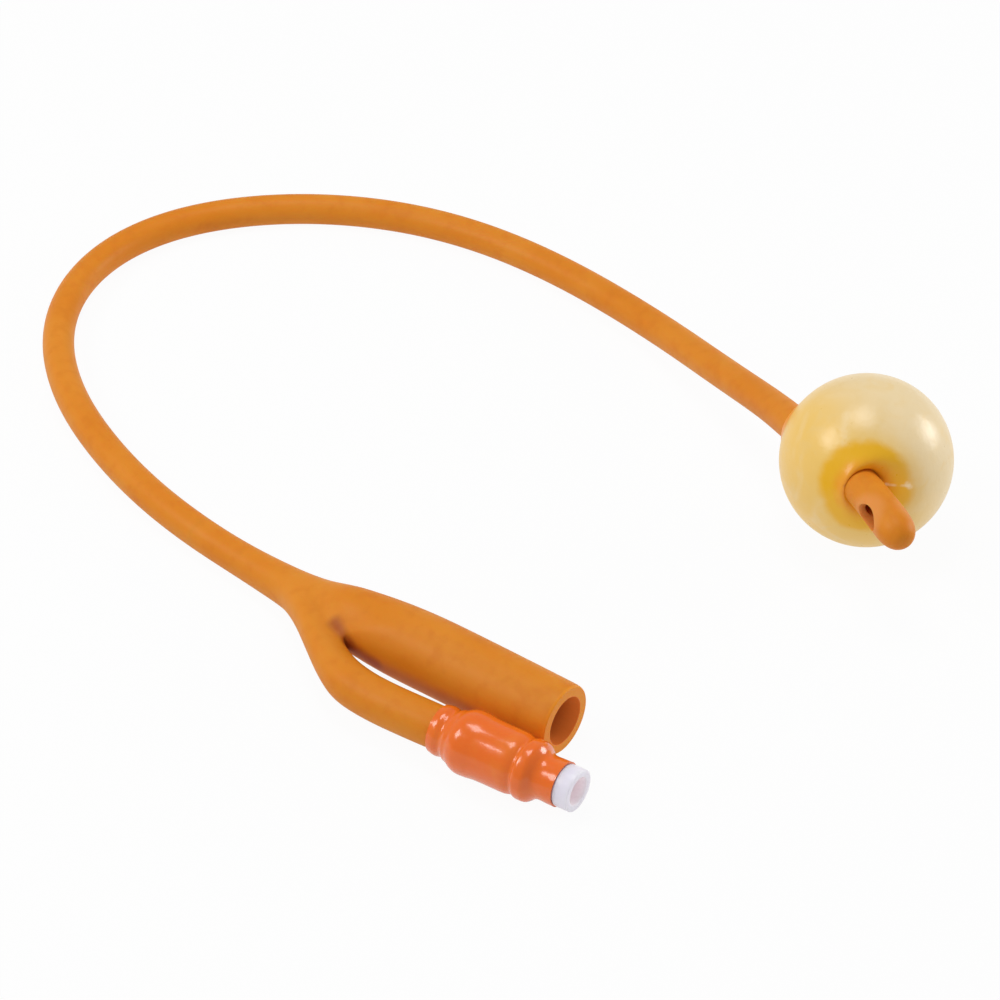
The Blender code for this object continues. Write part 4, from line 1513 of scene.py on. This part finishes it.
class BalloonSkin:
    """The filled balloon: a thin skin tucked in round the tube at both ends."""

    SIDES = 12
    STEPS = 7

    def __init__(self, tube: Tube) -> None:
        """Takes its sizes and its place from the tube.

        Args:
            tube: the tube that it sits on.
        """
        self.tube = tube
        self.sizes = tube.balloon
        centre = self.sizes.centre
        self.first = (centre - tube.drain.at(tube.enter)).normalized()
        self.last = (tube.drain.at(tube.leave) - centre).normalized()
        self.scale = cage_swell(math.tau / self.SIDES)

    def _hug(self, s: float) -> list[Vector]:
        """A ring close round the tube."""
        radius = (self.tube.sizes.coated / 2 + self.sizes.gap) * self.scale
        return self.tube.drain.ring(s, radius, self.SIDES)

    def _around(self, angle: float) -> list[Vector]:
        """A ring of the sphere.

        Args:
            angle: the angle from the entry's pole.

        Returns:
            The points.
        """
        normal = self.first.slerp(self.last, angle / math.pi)
        side = normal.cross(UP).normalized()
        centre = self.sizes.centre - normal * self.sizes.radius * math.cos(angle)
        radius = self.sizes.radius * math.sin(angle) * self.scale
        return circle(centre, side, side.cross(normal), radius, self.SIDES)

    def _crest(self, ring: list[Vector], lip: list[Vector], out: Vector) -> list[Vector]:
        """The ring where the sphere turns in towards the tube."""
        lift = out * self.sizes.dimple * self.sizes.crest_lift
        return [a.lerp(b, self.sizes.crest) + lift for a, b in zip(ring, lip)]

    def build(self) -> Piece:
        """Builds the skin with its wall.

        Returns:
            The piece.
        """
        sizes = self.sizes
        low = math.asin(sizes.spread / sizes.radius)
        steps = self.STEPS
        sphere = [self._around(blend(low, math.pi - low, k / steps)) for k in range(steps + 1)]
        lip_in = self.tube.enter + sizes.dimple
        lip_out = self.tube.leave - sizes.dimple
        stations = [sizes.cuff * share for share in sizes.cuff_stations]
        cuff_in = [self._hug(lip_in + inwards) for inwards in stations]
        cuff_out = [self._hug(lip_out - inwards) for inwards in reversed(stations)]
        rings = [*cuff_in, self._crest(sphere[0], cuff_in[-1], -self.first), *sphere]
        rings += [self._crest(sphere[-1], cuff_out[0], self.last), *cuff_out]
        piece = skin_of("balloon_skin", rings, closed=False).finish(levels=3)
        apply_modifier(piece, "SOLIDIFY", thickness=sizes.wall, offset=-1.0)
        smooth_shading(piece, degrees=60)
        return piece


class Valve:
    """The check valve and the colour sleeve shrunk over it, both turned about the valve's axis."""

    TURN_STEPS = 96
    SLEEVE_STEPS = 90
    MERGE = 0.000002

    def __init__(self, sizes: ValveSizes, film: SleeveSizes) -> None:
        """Keeps the sizes and the valve's axis.

        Args:
            sizes: the valve's sizes.
            film: the sleeve's sizes.
        """
        self.sizes = sizes
        self.film = film
        self.ahead = (sizes.at(0.0) - sizes.at(1.0)).normalized()

    def squash_spring(self, spring: Piece) -> None:
        """Logs the spring's length and the share of it that the stem's travel leaves, and gives it its
        own mesh.

        Args:
            spring: the spring's solid.
        """
        places = [spring.matrix_world @ vert.co - self.sizes.mouth for vert in spring.data.vertices]
        backs = [-place.dot(self.ahead) for place in places]
        free = max(backs) - min(backs)
        keep = (free - self.sizes.travel) / free
        anchor = self.sizes.at(max(backs))
        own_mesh(spring)
        LOG.info("spring %.2f mm, kept share %.3f", free * 1000, keep)

    def plastic(self) -> MouldedFinish:
        """The finish of the white moulding, with a painted warm glow inside its socket.

        Returns:
            The finish.
        """
        start, end = (self.sizes.at(back) for back in self.sizes.painted_glow_run)
        socket = Mark(start, end, core=0.0019, reach=0.0026, strength=0.65)
        colours = ((0.79, 0.765, 0.875), (0.745, 0.72, 0.84))
        return MouldedFinish("valve_plastic", *colours, roughness=0.30, glow=0.8, warm=socket)

    def _turned(self, name: str, profile: Sequence[Pair]) -> Piece:
        """Spins a closed profile of (distance back, radius) about the valve's axis.

        Args:
            name: the piece's name.
            profile: its corners.

        Returns:
            The piece.
        """
        points = [self.sizes.at(back) + UP * radius for back, radius in profile]
        skin = Skin(name, points)
        bpy.ops.mesh.select_all(action="SELECT")
        bpy.ops.mesh.spin(
            steps=self.TURN_STEPS,
            angle=math.tau,
            center=self.sizes.mouth,
            axis=self.ahead,
            use_auto_merge=False,
        )
        bpy.ops.mesh.select_all(action="SELECT")
        bpy.ops.mesh.remove_doubles(threshold=self.MERGE)
        return skin.finish()

    def housing(self) -> Piece:
        """The moulded front: socket, rim, neck, flange and barrel.

        Returns:
            The piece.
        """
        s = self.sizes
        profile = [
            (0.0, s.luer / 2),
            (0.0, s.rim / 2),
            (s.rim_length, s.rim / 2),
            (s.rim_length, s.neck / 2),
            (s.flange_front, s.neck / 2),
            (s.flange_front, s.flange / 2),
            (s.flange_back, s.flange / 2),
            (s.flange_back, s.barrel / 2),
            (s.barrel_back, s.barrel / 2),
            (s.barrel_back, s.chamber / 2),
            (s.seat_back, s.chamber / 2),
            (s.seat_back, s.seat_bore / 2),
            (s.luer_depth, s.seat_bore / 2),
            (s.luer_depth, s.luer_end / 2),
        ]
        piece = self._turned("valve_front", profile)
        apply_modifier(
            piece,
            "BEVEL",
            width=s.edge,
            segments=4,
            limit_method="ANGLE",
            angle_limit=math.radians(50),
        )
        smooth_shading(piece, degrees=35)
        return piece

    def _sleeve_radius(self, back: float) -> float:
        """Outer radius of the sleeve, on a smooth curve through its stated stations.

        Args:
            back: the distance back from the valve's mouth.

        Returns:
            The radius.
        """
        stations = self.film.outer
        last = len(stations) - 1
        place = min(max(back, stations[0][0]), stations[last][0])
        k = next(i for i in range(last) if place <= stations[i + 1][0])
        (x0, r0), (x1, r1) = stations[k], stations[k + 1]
        x_before, r_before = stations[max(k - 1, 0)]
        x_after, r_after = stations[min(k + 2, last)]
        span = x1 - x0
        leave = (r1 - r_before) / (x1 - x_before) * span
        arrive = (r_after - r0) / (x_after - x0) * span
        share = (place - x0) / span
        turn = share * (1.0 - share)
        return blend(r0, r1, ease(share)) + turn * ((1.0 - share) * leave - share * arrive)

    def sleeve(self) -> Piece:
        """The shrunk film, with its creases pressed in.

        Returns:
            The piece.
        """
        film = self.film
        start = film.outer[0][0]
        end = film.outer[-1][0]
        steps = self.SLEEVE_STEPS
        backs = [blend(start, end, k / steps) for k in range(steps + 1)]
        outer = [(back, self._sleeve_radius(back)) for back in backs]
        inner = [(back, radius - film.wall) for back, radius in reversed(outer)]
        piece = self._turned("shrunk_sleeve", outer + inner)
        for vert in piece.data.vertices:
            away = vert.co - self.sizes.mouth
            back = -away.dot(self.ahead)
            radial = away + self.ahead * back
            turned = radial * film.crease_round
            spot = Vector((back * film.crease_along, turned.y, turned.z))
            crease = noise.noise(spot) * film.crease
            reach = ease((back - start) / film.smooth_front) * ease((end - back) / film.smooth_back)
            vert.co += radial.normalized() * crease * reach
        piece.data.update()
        smooth_shading(piece, degrees=50)
        return piece


# Camera, lights and table


@dataclass(frozen=True)
class Softbox:
    """A square lamp."""

    name: str
    direction: Point
    distance: float
    size: float
    power: float

    def build(self, target: Vector) -> None:
        """Hangs the lamp, turned to its target.

        Args:
            target: the point that it shines on.
        """
        data = bpy.data.lights.new(self.name, "AREA")
        data.shape = "SQUARE"
        data.size = self.size
        data.energy = self.power
        lamp = bpy.data.objects.new(self.name, data)
        bpy.context.scene.collection.objects.link(lamp)
        away = Vector(self.direction).normalized()
        lamp.location = target + away * self.distance
        lamp.rotation_euler = away.to_track_quat("Z", "Y").to_euler()


@dataclass
class Studio:
    """The pale table, the lamps and the camera."""

    target: Point = (0.0, 0.0, 0.005)
    camera_place: Point = (0.28541, -0.37497, 0.3621)
    camera_turn: tuple[float, float, float] = (52.0, 0.0, 35.947)
    lens: float = 131.796
    sensor: float = 36.0
    nearest: float = 0.01
    table_size: float = 6.0
    table_grey: Colour = (0.75, 0.75, 0.75)
    table_roughness: float = 0.9
    white: Colour = (1.0, 1.0, 1.0)
    whiteness: float = 0.95
    bounce: float = 0.50
    world_light: float = 0.44
    lamps: tuple[Softbox, ...] = (
        Softbox("softbox_top", (-0.06, 0.06, 0.995), 0.55, 0.22, 0.88),
        Softbox("softbox_left", (-0.50, -0.53, 0.68), 0.60, 0.24, 1.28),
        Softbox("softbox_right", (0.607, 0.778, 0.25), 0.60, 0.20, 1.1),
    )

    def camera(self) -> None:
        """Sets the camera where the photograph was taken from."""
        data = bpy.data.cameras.new("camera")
        data.sensor_width = self.sensor
        data.lens = self.lens
        data.clip_start = self.nearest
        camera = bpy.data.objects.new("camera", data)
        bpy.context.scene.collection.objects.link(camera)
        camera.location = self.camera_place
        camera.rotation_euler = [math.radians(a) for a in self.camera_turn]
        bpy.context.scene.camera = camera

    @staticmethod
    def _show(sheet: Sheet, glow: Wire, least: float, most: float, end: str) -> None:
        """Mixes a glow over a tree's shader, more of it where a ray comes straight from the camera.

        Args:
            sheet: the tree.
            glow: the glow.
            least: its share for all other rays.
            most: its share for rays from the camera.
            end: the name of the tree's output node.
        """
        seen = sheet.node("ShaderNodeLightPath", output="Is Camera Ray")
        share = seen * (most - least) + least
        inputs = {0: share, 1: Wire(sheet, sheet.shader.outputs[0]), 2: glow}
        mixed = sheet.node("ShaderNodeMixShader", None, inputs)
        sheet.feed(sheet.nodes[end].inputs[0], mixed)

    def world(self) -> None:
        """A soft even light, seen as white."""
        world = bpy.data.worlds.new("studio")
        bpy.context.scene.world = world
        sheet = Sheet(world, "Background")
        sheet.dress({"Color": self.white, "Strength": self.world_light})
        white = sheet.node("ShaderNodeBackground", None, {"Color": self.white})
        self._show(sheet, white, 0.0, 1.0, "World Output")

    def table(self) -> None:
        """A pale table that keeps a soft shadow."""
        bpy.ops.object.select_all(action="DESELECT")
        bpy.ops.mesh.primitive_plane_add(size=self.table_size, location=(0.0, 0.0, 0.0))
        table = bpy.context.active_object
        table.name = "table"
        sheet = Sheet.of_material("pale_table")
        table.data.materials.append(
            sheet.dress({"Base Color": self.table_grey, "Roughness": self.table_roughness})
        )
        glow = sheet.node("ShaderNodeEmission")
        self._show(sheet, glow, self.bounce, self.whiteness, "Material Output")

    def build(self) -> None:
        """Builds the world, the table and the lamps, and sets the view transform."""
        self.world()
        self.table()
        for lamp in self.lamps:
            lamp.build(Vector(self.target))
        bpy.context.scene.view_settings.view_transform = "Standard"


def register(piece: Piece, finish: Finish, slot: Slot, *nodes: str) -> None:
    """Dresses a piece, makes it ride on the catheter and lets it stand for its nodes.

    Args:
        piece: the piece.
        finish: its finish.
        slot: the record's slot of that finish; not used.
        nodes: the solids that it stands for.
    """
    dress_piece(piece, finish)
    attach(piece, "catheter")
    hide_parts(*nodes)
    LOG.info("%s: %d faces", piece.name, len(piece.data.polygons))


def hidden_finishes() -> dict[str, MouldedFinish]:
    """The finishes of the solids inside the valve, by node.

    Returns:
        The finishes.
    """
    return {
        "valve_stem": MouldedFinish("stem_plastic", (0.70, 0.68, 0.72), (0.62, 0.60, 0.66), 0.35, 0.2),
        "valve_end_cap": MouldedFinish("cap_plastic", (0.70, 0.69, 0.76), (0.62, 0.61, 0.70), 0.35),
        "valve_seal": MouldedFinish("seal_rubber", (0.03, 0.03, 0.03), (0.05, 0.05, 0.05), 0.55),
        "valve_spring": MouldedFinish(
            "spring_steel", (0.56, 0.55, 0.54), (0.42, 0.41, 0.40), 0.22, metallic=1.0
        ),
    }


def main() -> None:
    """Builds the camera, the catheter and the studio, in that order."""
    logging.basicConfig(level=logging.INFO, format="%(name)s %(message)s")
    studio = Studio()
    studio.camera()

    valve_sizes = ValveSizes()
    tube = Tube(TubeSizes(), valve_sizes, BalloonSizes())
    shaft, branch = tube.build()
    register(shaft, LatexFinish("shaft_latex", eyes=tube.eye_places()), Slot.LATEX, "latex_body")
    finish = LatexFinish("branch_latex", mouth=tube.sizes.mouth, shaded=CROTCH_SHADE)
    register(branch, finish, Slot.LATEX, "latex_body")

    balloon_skin = BalloonSkin(tube)
    balloon = balloon_skin.build()
    finish = BalloonFinish(tube.balloon.centre, balloon_skin.last, -balloon_skin.first)
    register(balloon, finish, Slot.BALLOON, "balloon")

    valve = Valve(valve_sizes, SleeveSizes())
    register(valve.housing(), valve.plastic(), Slot.VALVE, "valve_housing")
    register(valve.sleeve(), SleeveFinish(), Slot.SLEEVE, "colour_sleeve")
    for node, finish in hidden_finishes().items():
        dress_piece(frame["nodes"][node], finish)
    valve.squash_spring(frame["nodes"]["valve_spring"])

    path = tube.path()
    length = sum((b - a).length for a, b in zip(path, path[1:]))
    LOG.info("tube %.1f mm from the seam to the tip", length * 1000)

    studio.build()


if __name__ == "__main__":
    main()
